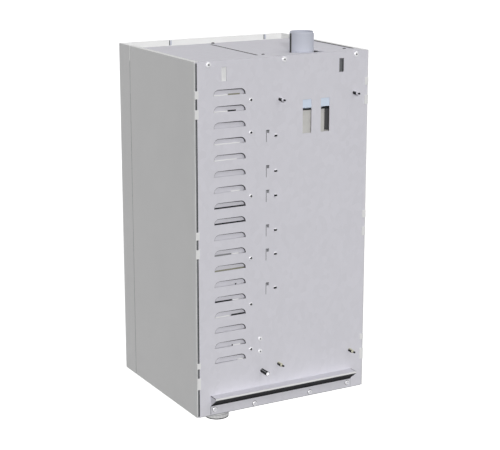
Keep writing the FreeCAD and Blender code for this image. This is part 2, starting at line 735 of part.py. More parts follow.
def make_gland():
    x = across(d.gland_edge)
    y = -d.gland_depth
    bore = d.gland_bore
    neck = d.gland_neck
    flange = d.gland_cap_radius - 4
    points = [(bore, -d.gland_cap_top - 4), (neck - 4, -d.gland_cap_top - 4), (neck - 4, -d.gland_cap_top),
              (flange - 2, -d.gland_cap_top), (flange, -d.gland_cap_top + 2), (flange, 0),
              (neck, 0), (neck, d.gland_thread), (bore, d.gland_thread)]
    node("gland_body", place(turned("gland_body", points), x, y, FLOOR))
    low = -d.gland_cap_bottom
    rim = d.gland_cap_radius
    points = [(bore, low), (rim - 2, low), (rim, low + 2), (rim, -d.gland_cap_top - 1),
              (rim - 1, -d.gland_cap_top), (neck - 4 + d.fit_gap, -d.gland_cap_top),
              (neck - 4 + d.fit_gap, -d.gland_cap_top - 4 - d.fit_gap),
              (bore, -d.gland_cap_top - 4 - d.fit_gap)]
    node("gland_cap", place(turned("gland_cap", points), x, y, FLOOR))
    inner = neck + d.fit_gap
    points = [(inner, 0), (d.gland_nut, 0), (d.gland_nut, d.gland_nut_height), (inner, d.gland_nut_height)]
    node("gland_locknut", place(turned("gland_locknut", points), x, y, level(d.metal)))


# Hydraulic side

def tank_solid(name, radius, low, high):
    return cylinder(name, "z", radius, (level(low), level(high)), TANK_X, TANK_Y)


def plug_spots():
    """Centres of the heaters on the tank's top: two at the sides and one at the front."""
    spread = TANK_RADIUS * d.plug_spread_share
    side_y = TANK_Y - TANK_RADIUS * d.plug_side_share
    return [(TANK_X - spread, side_y), (TANK_X + spread, side_y),
            (TANK_X, TANK_Y - TANK_RADIUS * d.plug_front_share)]


def vent_spot():
    return (TANK_X - TANK_RADIUS * d.vent_offset_share, TANK_Y + TANK_RADIUS * d.vent_back_share)


def make_tank():
    radius = TANK_RADIUS
    inner = radius - d.tank_wall
    high = d.tank_high - d.tank_low
    points = [
        (0, 0), (radius - 1.5, 0), (radius, 1.5), (radius, high - 1.5), (radius - 1.5, high),
        (0, high), (0, high - d.tank_end), (inner, high - d.tank_end), (inner, d.tank_end),
        (0, d.tank_end),
    ]
    shell = place(turned("tank_turned", points), TANK_X, TANK_Y, level(d.tank_low))
    above = (level(d.tank_high - d.tank_end - 1), level(d.tank_high + 1))
    below = (level(d.tank_low - 1), level(d.tank_low + d.tank_end + 1))
    bore = d.pipe_radius - d.pipe_wall
    tools = [
        cylinder("tank_outlet", "z", bore, above, FLOW_X, FLOW_Y),
        cylinder("tank_inlet", "z", bore, below, TANK_X, RETURN_Y),
        cylinder("tank_vent", "z", d.vent_stem - 2, above, *vent_spot()),
        cylinder("tank_valve_port", "y", d.valve_stub / 2, (TANK_Y - radius - 1, TANK_Y), TANK_X,
                 level(d.valve_level)),
    ]
    for x, y in plug_spots():
        tools.append(cylinder("tank_plug_hole", "z", TANK_RADIUS * d.plug_share, above, x, y))
    return node("tank_shell", cut("tank_shell", shell, *tools))


def make_jacket():
    """The heat-insulating jacket, with a pocket for the temperature sensor."""
    low = d.bracket_low + d.bracket_height / 2 + d.jacket_gap
    high = d.bracket_high - d.bracket_height / 2 - d.jacket_gap
    outer = TANK_RADIUS + d.jacket
    sleeve = tank_solid("jacket_out", outer, low, high)
    right = TANK_X - d.sensor_offset
    tools = [
        tank_solid("jacket_in", TANK_RADIUS, low - 1, high + 1),
        cylinder("jacket_port", "y", d.valve_stub + d.fit_gap, (TANK_Y - outer - 1, TANK_Y), TANK_X,
                 level(d.valve_level)),
        box("jacket_pocket", (right - d.sensor_width - d.fit_gap, right + d.fit_gap), (TANK_Y, 0),
            (level(d.sensor_low) - d.fit_gap, level(high + 1))),
    ]
    return node("tank_jacket", cut("tank_jacket", sleeve, *tools))


def make_sensor():
    """A clip-on temperature sensor that lies on the tank in the jacket's pocket."""
    right = TANK_X - d.sensor_offset
    span = (level(d.sensor_low), level(d.sensor_high))
    block = box("sensor_block", (right - d.sensor_width, right), (TANK_Y, -d.sensor_depth), span)
    return node("tank_sensor", cut("tank_sensor", block, tank_solid(
        "sensor_seat", TANK_RADIUS, d.sensor_low - 1, d.sensor_high + 1)))


def make_bracket(label, height):
    """A plate on the back panel with two ribs that the tank is welded to."""
    half = d.bracket_height / 2
    span = (level(height - half), level(height + half))
    front = REAR_IN - d.bracket_metal
    wing = TANK_RADIUS + d.bracket_wing
    items = [box(label + "_plate", (TANK_X - wing, TANK_X + wing), (front, REAR_IN), span)]
    for side in (-1, 1):
        middle = TANK_X + d.rib_spacing / 2 * side
        items.append(box(label + "_rib", (middle - d.rib_metal / 2, middle + d.rib_metal / 2),
                         (TANK_Y + TANK_RADIUS / 2, front), span))
    tools = [tank_solid(label + "_tank", TANK_RADIUS, height - half - 1, height + half + 1)]
    for x, z in bolt_spots(height):
        tools.append(cylinder(label + "_hole", "y", d.bolt_radius + d.fit_gap, (front - 1, 0), x, z))
    return node(label, cut(label, fuse(label + "_welded", *items), *tools))


def pipe_stub(label, length, x, y, z, turn):
    """A plain pipe end, bevelled outside for the joint with the heating circuit."""
    radius = d.pipe_radius
    bore = radius - d.pipe_wall
    points = [(bore, 0), (radius, 0), (radius, length - d.pipe_bevel_height),
              (radius - d.pipe_bevel, length), (bore, length)]
    return node(label, place(turned(label, points), x, y, z, turn))


def make_pipes():
    pipe_stub("flow_pipe", d.cab_height + d.flow_rise - d.tank_high, FLOW_X, FLOW_Y,
              level(d.tank_high), TURNS["z"])
    pipe_stub("return_pipe", d.tank_low + d.return_drop, TANK_X, RETURN_Y, level(d.tank_low), DOWN)


def make_vent():
    """An automatic air vent on the tank's highest point."""
    stem = d.vent_stem
    bore = stem - 2
    high = d.vent_stem_height + d.vent_height
    points = [(0, d.vent_stem_height), (bore, d.vent_stem_height - 2), (bore, 0), (stem, 0),
              (stem, d.vent_stem_height), (d.vent_radius, d.vent_stem_height),
              (d.vent_radius, high - 8), (d.vent_radius - 3, high - 5), (4, high - 5), (4, high),
              (0, high)]
    x, y = vent_spot()
    return node("air_vent", place(turned("air_vent", points), x, y, level(d.tank_high)))


def make_heaters():
    """Three screw-in heaters from above: plug, three U-shaped elements each, terminal cap."""
    head = d.plug_head_height
    plug = TANK_RADIUS * d.plug_share - d.fit_gap
    rim = TANK_RADIUS * d.plug_head_share
    cap = TANK_RADIUS * d.cap_share
    plug_points = [(0, -d.plug_reach), (plug, -d.plug_reach), (plug, 0), (rim, 0),
                   (rim, head - 2), (rim - 2, head), (0, head)]
    cap_points = [(0, head), (cap, head), (cap, head + d.cap_height - 4),
                  (cap - 4, head + d.cap_height), (0, head + d.cap_height)]
    plugs, caps, loops = [], [], []
    for x, y in plug_spots():
        plugs.append(place(turned("heater_plug", plug_points), x, y, level(d.tank_high)))
        caps.append(place(turned("heater_cap", cap_points), x, y, level(d.tank_high)))
        for index in range(3):
            loops.append(heater_loop("heater_loop", x, y, 120 * index + 30))
    node("heater_plugs", group("heater_plugs", plugs))
    node("heater_loops", group("heater_loops", loops))
    node("heater_caps", group("heater_caps", caps))


def heater_loop(name, x, y, angle):
    """Two legs a sixth of a turn apart on the leg circle, joined by a half ring below."""
    high = level(d.tank_high - d.plug_reach)
    low = high - d.loop_length
    legs = []
    for step in (-30, 30):
        turn = math.radians(angle + step)
        legs.append(cylinder(name + "_leg", "z", d.loop_radius, (low, high),
                             x + d.loop_circle * math.cos(turn), y + d.loop_circle * math.sin(turn)))
    bend = doc.addObject("Part::Torus", name + "_bend")
    bind(bend, "Radius1", d.loop_circle / 2)
    bind(bend, "Radius2", d.loop_radius)
    bend.Angle3 = 180
    turn = math.radians(angle)
    reach = d.loop_circle * math.cos(math.radians(30))
    stand = Rotation(Vector(0, 0, 1), angle + 90) * Rotation(Vector(1, 0, 0), -90)
    place(bend, x + reach * math.cos(turn), y + reach * math.sin(turn), low, stand)
    return fuse(name, *legs, bend)


def make_safety_valve():
    """A spring-loaded relief valve on the tank, with a cap that turns to lift it."""
    z = level(d.valve_level)
    start = TANK_Y
    neck = TANK_Y - TANK_RADIUS - d.valve_stub_length
    front = neck - d.valve_length
    items = [
        cylinder("valve_stub", "y", d.valve_stub, (neck, start), TANK_X, z),
        cylinder("valve_barrel", "y", d.valve_radius, (front, neck), TANK_X, z),
        cylinder("valve_spigot", "y", d.valve_spigot, (front - d.valve_cap_length / 2, front), TANK_X, z),
        cylinder("valve_outlet", "z", d.valve_outlet, (z - d.valve_outlet_length, z), TANK_X,
                 neck - d.valve_length / 2),
    ]
    mouth = tank_solid("valve_tank", TANK_RADIUS, d.tank_low, d.tank_high)
    node("safety_valve", cut("safety_valve", fuse("valve_casting", *items), mouth))
    bore = d.valve_spigot + d.run_gap
    rim = d.valve_cap_radius
    depth = d.valve_cap_length / 2 + d.move_gap
    points = [(0, depth), (bore, depth), (bore, 0), (rim, 0), (rim, d.valve_cap_length - 2),
              (rim - 2, d.valve_cap_length), (0, d.valve_cap_length)]
    cap = place(turned("valve_cap_round", points), TANK_X, front - d.move_gap, z, TO_FRONT)
    grooves = []
    for index in range(8):
        turn = math.radians(45 * index)
        grooves.append(cylinder("valve_cap_groove", "y", 2.5,
                                (front - d.valve_cap_length - 2, front - d.move_gap - 5),
                                TANK_X + rim * math.cos(turn), z + rim * math.sin(turn)))
    node("safety_valve_cap", cut("safety_valve_cap", cap, *grooves))


# Electric side: everything clips on rails along the partition wall

WALL_X = across(d.part_edge)
DEVICE_X = WALL_X + d.din_depth


def make_din_rails():
    rails = []
    half = d.din_height / 2
    crown = half - 5
    skin = d.din_metal
    for height in (d.din_level_low, d.din_level_high):
        points = [
            (0, -crown), (0, crown), (d.din_depth - skin, crown), (d.din_depth - skin, half),
            (d.din_depth, half), (d.din_depth, crown - skin), (skin, crown - skin),
            (skin, -crown + skin), (d.din_depth, -crown + skin), (d.din_depth, -half),
            (d.din_depth - skin, -half), (d.din_depth - skin, -crown),
        ]
        points.reverse()
        rail = extruded("din_rail", "XZ_Plane", points, d.din_length)
        rails.append(place(rail, WALL_X, -d.din_start, level(height)))
    return node("din_rails", group("din_rails", rails))


def stepped_device(name, start, width, height, depth, middle):
    """A clip-on device: a full-height foot and a narrower, deeper front part."""
    y = (-(start + width), -start)
    half = height / 2
    foot = box(name + "_foot", (DEVICE_X, DEVICE_X + depth - d.device_shoulder), y,
               (middle - half, middle + half))
    nose = box(name + "_nose", (DEVICE_X, DEVICE_X + depth), y,
               (middle - half + d.device_shoulder, middle + half - d.device_shoulder))
    return fuse(name, foot, nose)


def make_contactors():
    for index in range(3):
        label = "contactor_%d" % (index + 1)
        start = d.contactor_start + d.contactor_pitch * index
        body = stepped_device(label + "_case", start, d.contactor_width, d.contactor_height,
                              d.contactor_depth, level(d.din_level_low))
        holes = []
        for side in (-1, 1):
            z = level(d.din_level_low) + (d.contactor_height / 2 - d.device_shoulder / 2) * side
            for step in (1, 2, 3):
                y = -(start + d.contactor_width * step / 4)
                face = DEVICE_X + d.contactor_depth - d.device_shoulder
                holes.append(cylinder(label + "_terminal", "x", 3, (face - 5, face + 1), y, z))
        node(label, cut(label, body, *holes))


def make_breaker():
    """A three-pole breaker and its toggle bar, which turns about an axis along Y."""
    middle = level(d.din_level_high)
    case = stepped_device("breaker_case", d.breaker_start, d.breaker_width, d.breaker_height,
                          d.breaker_depth, middle)
    face = DEVICE_X + d.breaker_depth
    centre = -(d.breaker_start + d.breaker_width / 2)
    half = d.toggle_width / 2
    room = d.toggle_radius + d.move_gap
    slot = cylinder("breaker_slot", "y", room,
                    (centre - half - d.move_gap, centre + half + d.move_gap), face, middle)
    node("breaker", cut("breaker", case, slot))
    barrel = cylinder("toggle_barrel", "y", d.toggle_radius, (centre - half, centre + half), face, middle)
    thick = d.toggle_radius / 2
    lever = box("toggle_lever", (face, face + d.toggle_length), (centre - half, centre + half),
                (middle - thick, middle + thick))
    node("breaker_toggle", fuse("breaker_toggle", barrel, lever))


def make_terminal_block():
    middle = level(d.din_level_high)
    y = (-(d.block_start + d.block_width), -d.block_start)
    half = d.block_height / 2
    case = box("block_case", (DEVICE_X, DEVICE_X + d.block_depth), y, (middle - half, middle + half))
    tools = []
    for step in range(5):
        centre = -(d.block_start + d.block_width * (step + 0.5) / 5)
        for side in (-1, 1):
            z = middle + d.block_height / 4 * side
            face = DEVICE_X + d.block_depth
            tools.append(cylinder("block_terminal", "x", 5, (face - 8, face + 1), centre, z))
    return node("terminal_block", cut("terminal_block", case, *tools))


def make_limiter():
    """A safety temperature limiter on the partition wall, with a reset button."""
    middle = level(d.limiter_level)
    y = (-(d.limiter_start + d.limiter_width), -d.limiter_start)
    half = d.limiter_height / 2
    case = box("limiter_case", (WALL_X, WALL_X + d.limiter_depth), y, (middle - half, middle + half))
    centre = -(d.limiter_start + d.limiter_width / 2)
    face = WALL_X + d.limiter_depth
    well = face - d.reset_travel * 4
    hole = cylinder("limiter_well", "x", d.reset_radius + d.move_gap, (well, face + 1), centre, middle)
    node("temperature_limiter", cut("temperature_limiter", case, hole))
    button = cylinder("reset_button", "x", d.reset_radius,
                      (well + d.reset_travel + d.move_gap, face + d.reset_reach), centre, middle)
    node("reset_button", button)


# Door with the controls

DOOR_BACK = -(d.side_seam + d.seam_gap / 2)


def fascia_x(edge):
    """X of a control, measured from the fascia's -X edge."""
    return -d.fascia_width / 2 + edge


def make_door():
    body = body_of("door_tray")
    face = sketch_on(body, "door_face", "XY_Plane")
    bend = d.door_bend
    out = SIDE_OUT
    outline(face, [
        (-out, DOOR_BACK), (-out, DOOR_OUT + bend),
        (-out + bend, DOOR_OUT, -out + bend, DOOR_OUT + bend, bend),
        (out - bend, DOOR_OUT), (out, DOOR_OUT + bend, out - bend, DOOR_OUT + bend, bend),
        (out, DOOR_BACK), (SIDE_IN, DOOR_BACK), (SIDE_IN, DOOR_IN), (-SIDE_IN, DOOR_IN),
        (-SIDE_IN, DOOR_BACK),
    ])
    pad(body, face, d.cab_height)
    place(body, 0, 0, FLOOR)
    shelf_z = TOP - d.door_top_drop
    low = box("door_low", (-SIDE_IN, SIDE_IN), (DOOR_IN, DOOR_BACK), (FLOOR, level(d.metal)))
    shelf = box("door_shelf", (-SIDE_IN, SIDE_IN), (DOOR_IN, DOOR_BACK), (shelf_z, shelf_z + d.metal))
    tools = [
        cylinder("door_lock_hole", "y", d.lock_barrel + d.run_gap, (DOOR_OUT - 1, DOOR_IN + 1),
                 SIDE_OUT - d.lock_edge, level(d.lock_level)),
        cylinder("door_knob_hole", "y", d.knob_shaft * 2, (DOOR_OUT - 1, DOOR_IN + 5),
                 fascia_x(d.knob_edge), level(d.knob_level)),
        cylinder("door_switch_hole", "y", d.switch_shaft * 2, (DOOR_OUT - 1, DOOR_IN + 5),
                 fascia_x(d.switch_edge), level(d.switch_level)),
        box("door_display_hole", (fascia_x(d.display_edge), fascia_x(d.display_edge + d.display_width)),
            (DOOR_OUT - 1, DOOR_IN + 5), (level(d.display_level), level(d.display_level) + d.display_height)),
    ]
    for x, z in key_spots():
        tools.append(cylinder("door_key_hole", "y", d.key_radius + 1, (DOOR_OUT - 1, DOOR_IN + 5), x, z))
    return node("door_shell", cut("door_shell", fuse("door_folded", body, low, shelf), *tools))


def key_spots():
    return [(fascia_x(d.key_edge + d.key_pitch * index), level(d.key_level)) for index in range(3)]


def make_fascia():
    face = (FASCIA_OUT, DOOR_OUT)
    plate = box("fascia_plate", (fascia_x(0), fascia_x(d.fascia_width)), face,
                (level(d.fascia_level), level(d.fascia_level + d.fascia_height)))
    reach = (FASCIA_OUT - 1, DOOR_OUT + 1)
    window = (level(d.display_level), level(d.display_level + d.display_height))
    tools = [
        box("fascia_display", (fascia_x(d.display_edge), fascia_x(d.display_edge + d.display_width)),
            reach, window),
        cylinder("fascia_knob", "y", d.knob_shaft + d.run_gap, reach, fascia_x(d.knob_edge),
                 level(d.knob_level)),
    ]
    for x, z in key_spots():
        tools.append(cylinder("fascia_key", "y", d.key_radius + d.move_gap, reach, x, z))
    node("control_fascia", cut("control_fascia", plate, *tools))
    gap = d.fit_gap
    pane = box("display_pane", (fascia_x(d.display_edge) + gap,
                                fascia_x(d.display_edge + d.display_width) - gap),
               (FASCIA_OUT + 1, DOOR_IN), (window[0] + gap, window[1] - gap))
    node("display_window", pane)


def make_board():
    """The control board behind the door, on four pillars."""
    back = DOOR_IN + d.board_gap
    margin = d.board_margin
    x = (fascia_x(margin), fascia_x(d.fascia_width - margin))
    z = (level(d.fascia_level + margin), level(d.fascia_level + d.fascia_height - margin))
    items = [box("board_plate", x, (back, back + d.board_metal), z)]
    for across_x in (x[0] + margin, x[1] - margin):
        for up_z in (z[0] + margin / 2, z[1] - margin / 2):
            items.append(cylinder("board_pillar", "y", d.pillar_radius, (DOOR_IN, back), across_x, up_z))
    relay_start = (x[0] + x[1] - d.relay_width) / 2
    relay_back = back + d.board_metal
    relay_low = z[0] + d.relay_rise
    items.append(box("board_relay", (relay_start, relay_start + d.relay_width),
                     (relay_back, relay_back + d.relay_depth), (relay_low, relay_low + d.relay_height)))
    return node("control_board", fuse("control_board", *items))


def make_knob():
    """A fluted knob with a pointer groove, on a shaft that reaches behind the door."""
    face = d.knob_gap
    shaft = -(d.fascia_metal + d.metal + 4)
    radius = d.knob_radius
    high = face + d.knob_height
    points = [(0, shaft), (d.knob_shaft, shaft), (d.knob_shaft, face), (radius, face),
              (radius - 1.5, high - 2), (radius - 3.5, high), (0, high)]
    knob = place(turned("knob_round", points), fascia_x(d.knob_edge), FASCIA_OUT, level(d.knob_level),
                 TO_FRONT)
    tools = []
    for index in range(12):
        turn = math.radians(30 * index + 15)
        tools.append(cylinder("knob_flute", "y", 2, (FASCIA_OUT - high - 1, FASCIA_OUT - face - 4),
                              fascia_x(d.knob_edge) + radius * math.cos(turn),
                              level(d.knob_level) + radius * math.sin(turn)))
    groove = box("knob_pointer", (fascia_x(d.knob_edge) - 0.8, fascia_x(d.knob_edge) + 0.8),
                 (FASCIA_OUT - high - 1, FASCIA_OUT - high + 1),
                 (level(d.knob_level) + radius * 0.35, level(d.knob_level) + radius + 1))
    node("temperature_knob", cut("temperature_knob", knob, *tools, groove))


def make_keys():
    """Push buttons that travel inward, onto the board behind the door."""
    reach = d.fascia_metal + d.metal
    for label, (x, z) in zip(("button_down", "button_up", "button_mode"), key_spots()):
        points = [(0, -reach - d.key_travel), (d.key_radius, -reach - d.key_travel),
                  (d.key_radius, d.key_reach - 0.6), (d.key_radius - 0.6, d.key_reach), (0, d.key_reach)]
        node(label, place(turned(label, points), x, FASCIA_OUT, z, TO_FRONT))


def make_main_switch():
    """A rotary main switch: body behind the door, plate and handle in front."""
    x = fascia_x(d.switch_edge)
    z = level(d.switch_level)
    half = d.switch_body / 2
    plate_half = d.switch_plate / 2
    reach = d.switch_shaft * 2 - d.fit_gap
    body = fuse("switch_case",
                box("switch_block", (x - half, x + half), (DOOR_IN, DOOR_IN + d.switch_depth),
                    (z - half, z + half)),
                box("switch_cover", (x - plate_half, x + plate_half), (FASCIA_OUT, DOOR_OUT),
                    (z - plate_half, z + plate_half)),
                cylinder("switch_neck", "y", reach, (FASCIA_OUT, DOOR_IN), x, z))
    well = FASCIA_OUT + 12
    bore = cylinder("switch_bore", "y", d.switch_shaft + d.run_gap, (FASCIA_OUT - 1, well), x, z)
    node("main_switch_body", cut("main_switch_body", body, bore))
    radius = d.switch_handle
    front = FASCIA_OUT - d.knob_gap
    disc = cylinder("switch_disc", "y", radius, (front - 6, front), x, z)
    shaft = cylinder("switch_shaft", "y", d.switch_shaft, (front, well - d.move_gap), x, z)
    grip = box("switch_grip", (x - d.switch_grip, x + d.switch_grip),
               (front - d.switch_handle_height, front - 6), (z - radius + 1, z + radius - 1))
    node("main_switch_handle", fuse("main_switch_handle", disc, shaft, grip))


def make_lock():
    """A quarter-turn lock. Its cam points up when open, and outward behind the side lip when shut."""
    x = SIDE_OUT - d.lock_edge
    z = level(d.lock_level)
    cam_front = -(d.side_seam - d.seam_gap / 2) + d.metal + d.cam_gap
    head = cylinder("lock_head", "y", d.lock_head, (DOOR_OUT - d.lock_head_height, DOOR_OUT - d.run_gap),
                    x, z)
    slot = box("lock_slot", (x - 1.5, x + 1.5), (DOOR_OUT - d.lock_head_height - 1,
                                                 DOOR_OUT - d.lock_head_height + 2),
               (z - d.lock_head + 3, z + d.lock_head - 3))
    barrel = cylinder("lock_barrel", "y", d.lock_barrel, (DOOR_OUT - d.run_gap, cam_front), x, z)
    half = d.cam_width / 2
    cam = box("lock_cam", (x - half, x + half), (cam_front, cam_front + d.cam_metal),
              (z - half, z + d.cam_length))
    node("door_lock", cut("door_lock", fuse("lock_turned", head, barrel, cam), slot))


def make_hinges():
    """Two hinges outside the -X wall; each has a fixed leaf, a door leaf and a pin."""
    knuckle = d.hinge_knuckle
    x = -(SIDE_OUT + d.hinge_skin + knuckle)
    y = -d.side_seam
    third = d.hinge_half / 3
    fixed, moving, pins = [], [], []
    for height in (d.hinge_low, d.hinge_high):
        middle = level(height)
        spans = [(middle - d.hinge_half, middle - third - d.hinge_slot / 2),
                 (middle + third + d.hinge_slot / 2, middle + d.hinge_half)]
        fixed.append(hinge_leaf("hinge_fixed", x, y, middle, spans, 1))
        moving.append(hinge_leaf("hinge_moving", x, y, middle,
                                 [(middle - third + d.hinge_slot / 2, middle + third - d.hinge_slot / 2)],
                                 -1))
        pins.append(cylinder("hinge_pin", "z", d.hinge_pin,
                             (middle - d.hinge_half, middle + d.hinge_half), x, y))
    node("hinge_frame_leaves", group("hinge_frame_leaves", fixed))
    node("hinge_door_leaves", group("hinge_door_leaves", moving))
    node("hinge_pins", group("hinge_pins", pins))


def hinge_leaf(name, x, y, middle, spans, side):
    """A leaf flat on the wall, with a bridge to each of its knuckles; side +1 reaches to the back."""
    skin = (-(SIDE_OUT + d.metal), -SIDE_OUT)
    near = d.hinge_knuckle + 1
    whole = (middle - d.hinge_half, middle + d.hinge_half)

    def toward(start, end):
        return (y + start, y + end) if side > 0 else (y - end, y - start)

    items = [box(name + "_plate", skin, toward(near, d.hinge_leaf), whole)]
    for span in spans:
        items.append(box(name + "_bridge", skin, toward(0.9, near), span))
        items.append(cylinder(name + "_knuckle", "z", d.hinge_knuckle, span, x, y))
        items.append(box(name + "_root", (x, -SIDE_OUT - d.metal * 0.5), toward(2.2, d.hinge_knuckle), span))
    room = d.hinge_pin + (0 if side > 0 else d.run_gap)
    bore = cylinder(name + "_bore", "z", room, (whole[0] - 1, whole[1] + 1), x, y)
    return cut(name, fuse(name + "_bent", *items), bore)


make_rear_panel()
make_side_panel("side_panel_right", 1)
make_side_panel("side_panel_left", -1)
make_top_plates()
make_bottom_tray()
make_front_rail()
make_partition()
for number, middle in enumerate(angle_middles(), start=1):
    make_angle(number, middle)
make_wall_spacer()
make_casing_screws()
make_tank_bolts()
make_earth_stud()
make_gland()
make_tank()
make_jacket()
make_bracket("tank_bracket_upper", d.bracket_high)
make_bracket("tank_bracket_lower", d.bracket_low)
make_sensor()
make_pipes()
make_vent()
make_heaters()
make_safety_valve()
make_din_rails()
make_contactors()
make_breaker()
make_terminal_block()
make_limiter()
make_door()
make_fascia()
make_board()
make_knob()
make_keys()
make_main_switch()
make_lock()
make_hinges()
doc.recompute()

faults = [item.Label for item in doc.Objects if "Invalid" in item.State or "Error" in item.State]
for item in nodes:
    if item.Shape.isNull() or not item.Shape.isValid():
        faults.append(item.Label)
if faults:
    raise SystemExit("failed objects: " + ", ".join(faults))
os.makedirs("parts", exist_ok=True)
for item in nodes:
    item.Shape.exportStep("parts/%s.step" % item.Label)
    print(item.Label, len(item.Shape.Solids), round(item.Shape.Volume, 1))
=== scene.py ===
import json
import math

import bmesh
import bpy
from mathutils import Matrix, Vector


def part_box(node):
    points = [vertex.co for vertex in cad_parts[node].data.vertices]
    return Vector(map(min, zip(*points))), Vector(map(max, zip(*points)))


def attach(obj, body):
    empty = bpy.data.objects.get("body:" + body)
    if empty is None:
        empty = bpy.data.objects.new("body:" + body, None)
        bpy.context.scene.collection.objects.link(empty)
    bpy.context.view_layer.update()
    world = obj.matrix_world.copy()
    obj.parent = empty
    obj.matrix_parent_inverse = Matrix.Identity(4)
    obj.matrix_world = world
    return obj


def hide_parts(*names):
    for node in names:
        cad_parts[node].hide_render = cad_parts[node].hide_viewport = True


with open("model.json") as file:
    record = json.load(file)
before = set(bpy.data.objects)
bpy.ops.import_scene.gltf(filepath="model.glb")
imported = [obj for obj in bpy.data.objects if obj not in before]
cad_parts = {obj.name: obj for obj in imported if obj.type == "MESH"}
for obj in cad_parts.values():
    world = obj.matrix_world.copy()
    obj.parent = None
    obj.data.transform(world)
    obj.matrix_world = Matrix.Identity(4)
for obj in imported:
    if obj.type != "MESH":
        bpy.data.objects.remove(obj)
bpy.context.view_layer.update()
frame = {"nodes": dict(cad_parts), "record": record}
nodes = frame["nodes"]

# Lengths are millimetres unless a name or comment says metres; a piece turns into metres when built.
MM = 0.001
BOTH = (-1, 1)
CORNERS = ((-1, -1), (1, -1), (1, 1), (-1, 1))


# Materials, in metres

def add_node(tree, kind, output, sockets, **settings):
    """Adds a shader node whose sockets get a constant or another node's output, and returns one of its
    own outputs, if it has any."""
    node = tree.nodes.new(kind)
    for name, value in settings.items():
        setattr(node, name, value)
    for name, value in sockets.items():
        if isinstance(value, bpy.types.NodeSocket):
            tree.links.new(value, node.inputs[name])
        else:
            node.inputs[name].default_value = value
    return node.outputs[output] if node.outputs else None


class Surface:
    """A material whose colour, roughness and bump come from textures in object space."""

    def __init__(self, name, roughness=0.5, metallic=0.0, coat=0.0, specular=0.5):
        self.material = bpy.data.materials.new(name)
        self.material.use_nodes = True
        self.tree = self.material.node_tree
        self.inputs = self.tree.nodes["Principled BSDF"].inputs
        for socket, value in (("Roughness", roughness), ("Metallic", metallic), ("Coat Weight", coat),
                              ("Specular IOR Level", specular)):
            self.inputs[socket].default_value = value
        self.dullness = roughness
        self.place = self.add("ShaderNodeTexCoord", "Object", {})
        self.normal = None

    def add(self, kind, output, sockets, **settings):
        return add_node(self.tree, kind, output, sockets, **settings)

    def stretched(self, stretch):
        """Object coordinates, drawn out along an axis where its factor is below 1."""
        if stretch is None:
            return self.place
        return self.add("ShaderNodeMapping", "Vector", {"Scale": stretch, "Vector": self.place})

    def noise(self, size, detail=2.0, stretch=None):
        """Noise from 0 to 1 whose patches are about size metres wide."""
        return self.add("ShaderNodeTexNoise", "Fac", {"Scale": 1 / size, "Detail": detail,
                                                      "Vector": self.stretched(stretch)})

    def cells(self, size, stretch=None):
        """A grey value from 0 to 1 for each crystal of about size metres."""
        colour = self.add("ShaderNodeTexVoronoi", "Color",
                          {"Scale": 1 / size, "Vector": self.stretched(stretch)})
        return self.add("ShaderNodeSeparateColor", "Red", {"Color": colour})

    def spread(self, value, low, high, start=0.3, end=0.7):
        """Values from start to end mapped onto low to high."""
        return self.add("ShaderNodeMapRange", "Result", {"From Min": start, "From Max": end,
                                                         "To Min": low, "To Max": high, "Value": value})

    def colour(self, value, first, second, start=0.3, end=0.7):
        """A colour between two, chosen by the value."""
        sockets = {"A": (*first, 1), "B": (*second, 1), "Factor": self.spread(value, 0, 1, start, end)}
        mix = self.add("ShaderNodeMix", "Result", sockets, data_type="RGBA")
        self.tree.links.new(mix, self.inputs["Base Color"])

    def tint(self, value, colour, darker, lighter, start=0.3, end=0.7):
        """One colour, darkened or lightened up to the two factors by the value."""
        first, second = ([min(part * factor, 1.0) for part in colour] for factor in (darker, lighter))
        self.colour(value, first, second, start, end)

    def vary(self, value, less, more):
        """Roughness from less below its mean to more above it."""
        roughness = self.spread(value, self.dullness - less, self.dullness + more)
        self.tree.links.new(roughness, self.inputs["Roughness"])

    def bump(self, value, height, strength):
        """Relief of the given height in metres, added to the relief that is already there."""
        sockets = {"Distance": height, "Strength": strength, "Height": value}
        if self.normal is not None:
            sockets["Normal"] = self.normal
        self.normal = self.add("ShaderNodeBump", "Normal", sockets)
        self.tree.links.new(self.normal, self.inputs["Normal"])


def powder_coat(name, colour, roughness=0.5, specular=0.35):
    """Stove enamel with a fine orange-peel skin."""
    surface = Surface(name, roughness, specular=specular)
    surface.tint(surface.noise(0.12, 3), colour, 0.985, 1.015)
    surface.vary(surface.noise(0.02), 0.05, 0.06)
    surface.bump(surface.noise(0.0022, 1.5), 0.00006, 0.5)
    return surface.material


def galvanised(name, colour):
    """Zinc-coated sheet: faint crystals, rolling streaks and a few cloudy patches."""
    surface = Surface(name, 0.68, 0.05, specular=0.08)
    crystals = surface.cells(0.011, (1, 1, 0.75))
    clouds = surface.noise(0.16, 3)
    mixed = surface.add("ShaderNodeMath", 0, {0: crystals, 1: clouds}, operation="ADD")
    surface.tint(mixed, colour, 0.975, 1.025, 0.4, 1.6)
    surface.vary(crystals, 0.05, 0.06)
    surface.bump(surface.noise(0.0012, 2, (1, 1, 0.15)), 0.00002, 0.4)
    return surface.material


def plated(name, colour, roughness=0.3, metallic=0.9):
    """Plated or bare machined metal with fine scratches and slight tarnish."""
    surface = Surface(name, roughness, metallic)
    surface.tint(surface.noise(0.004, 3), colour, 0.9, 1.06)
    surface.vary(surface.noise(0.0015, 3), 0.08, 0.1)
    surface.bump(surface.noise(0.0004), 0.00001, 0.5)
    return surface.material


def moulded(name, colour, roughness=0.4, specular=0.5):
    """Injection-moulded plastic with a fine eroded skin."""
    surface = Surface(name, roughness, specular=specular)
    surface.tint(surface.noise(0.03), colour, 0.96, 1.04)
    surface.vary(surface.noise(0.006), 0.06, 0.08)
    surface.bump(surface.noise(0.0006), 0.00002, 0.6)
    return surface.material


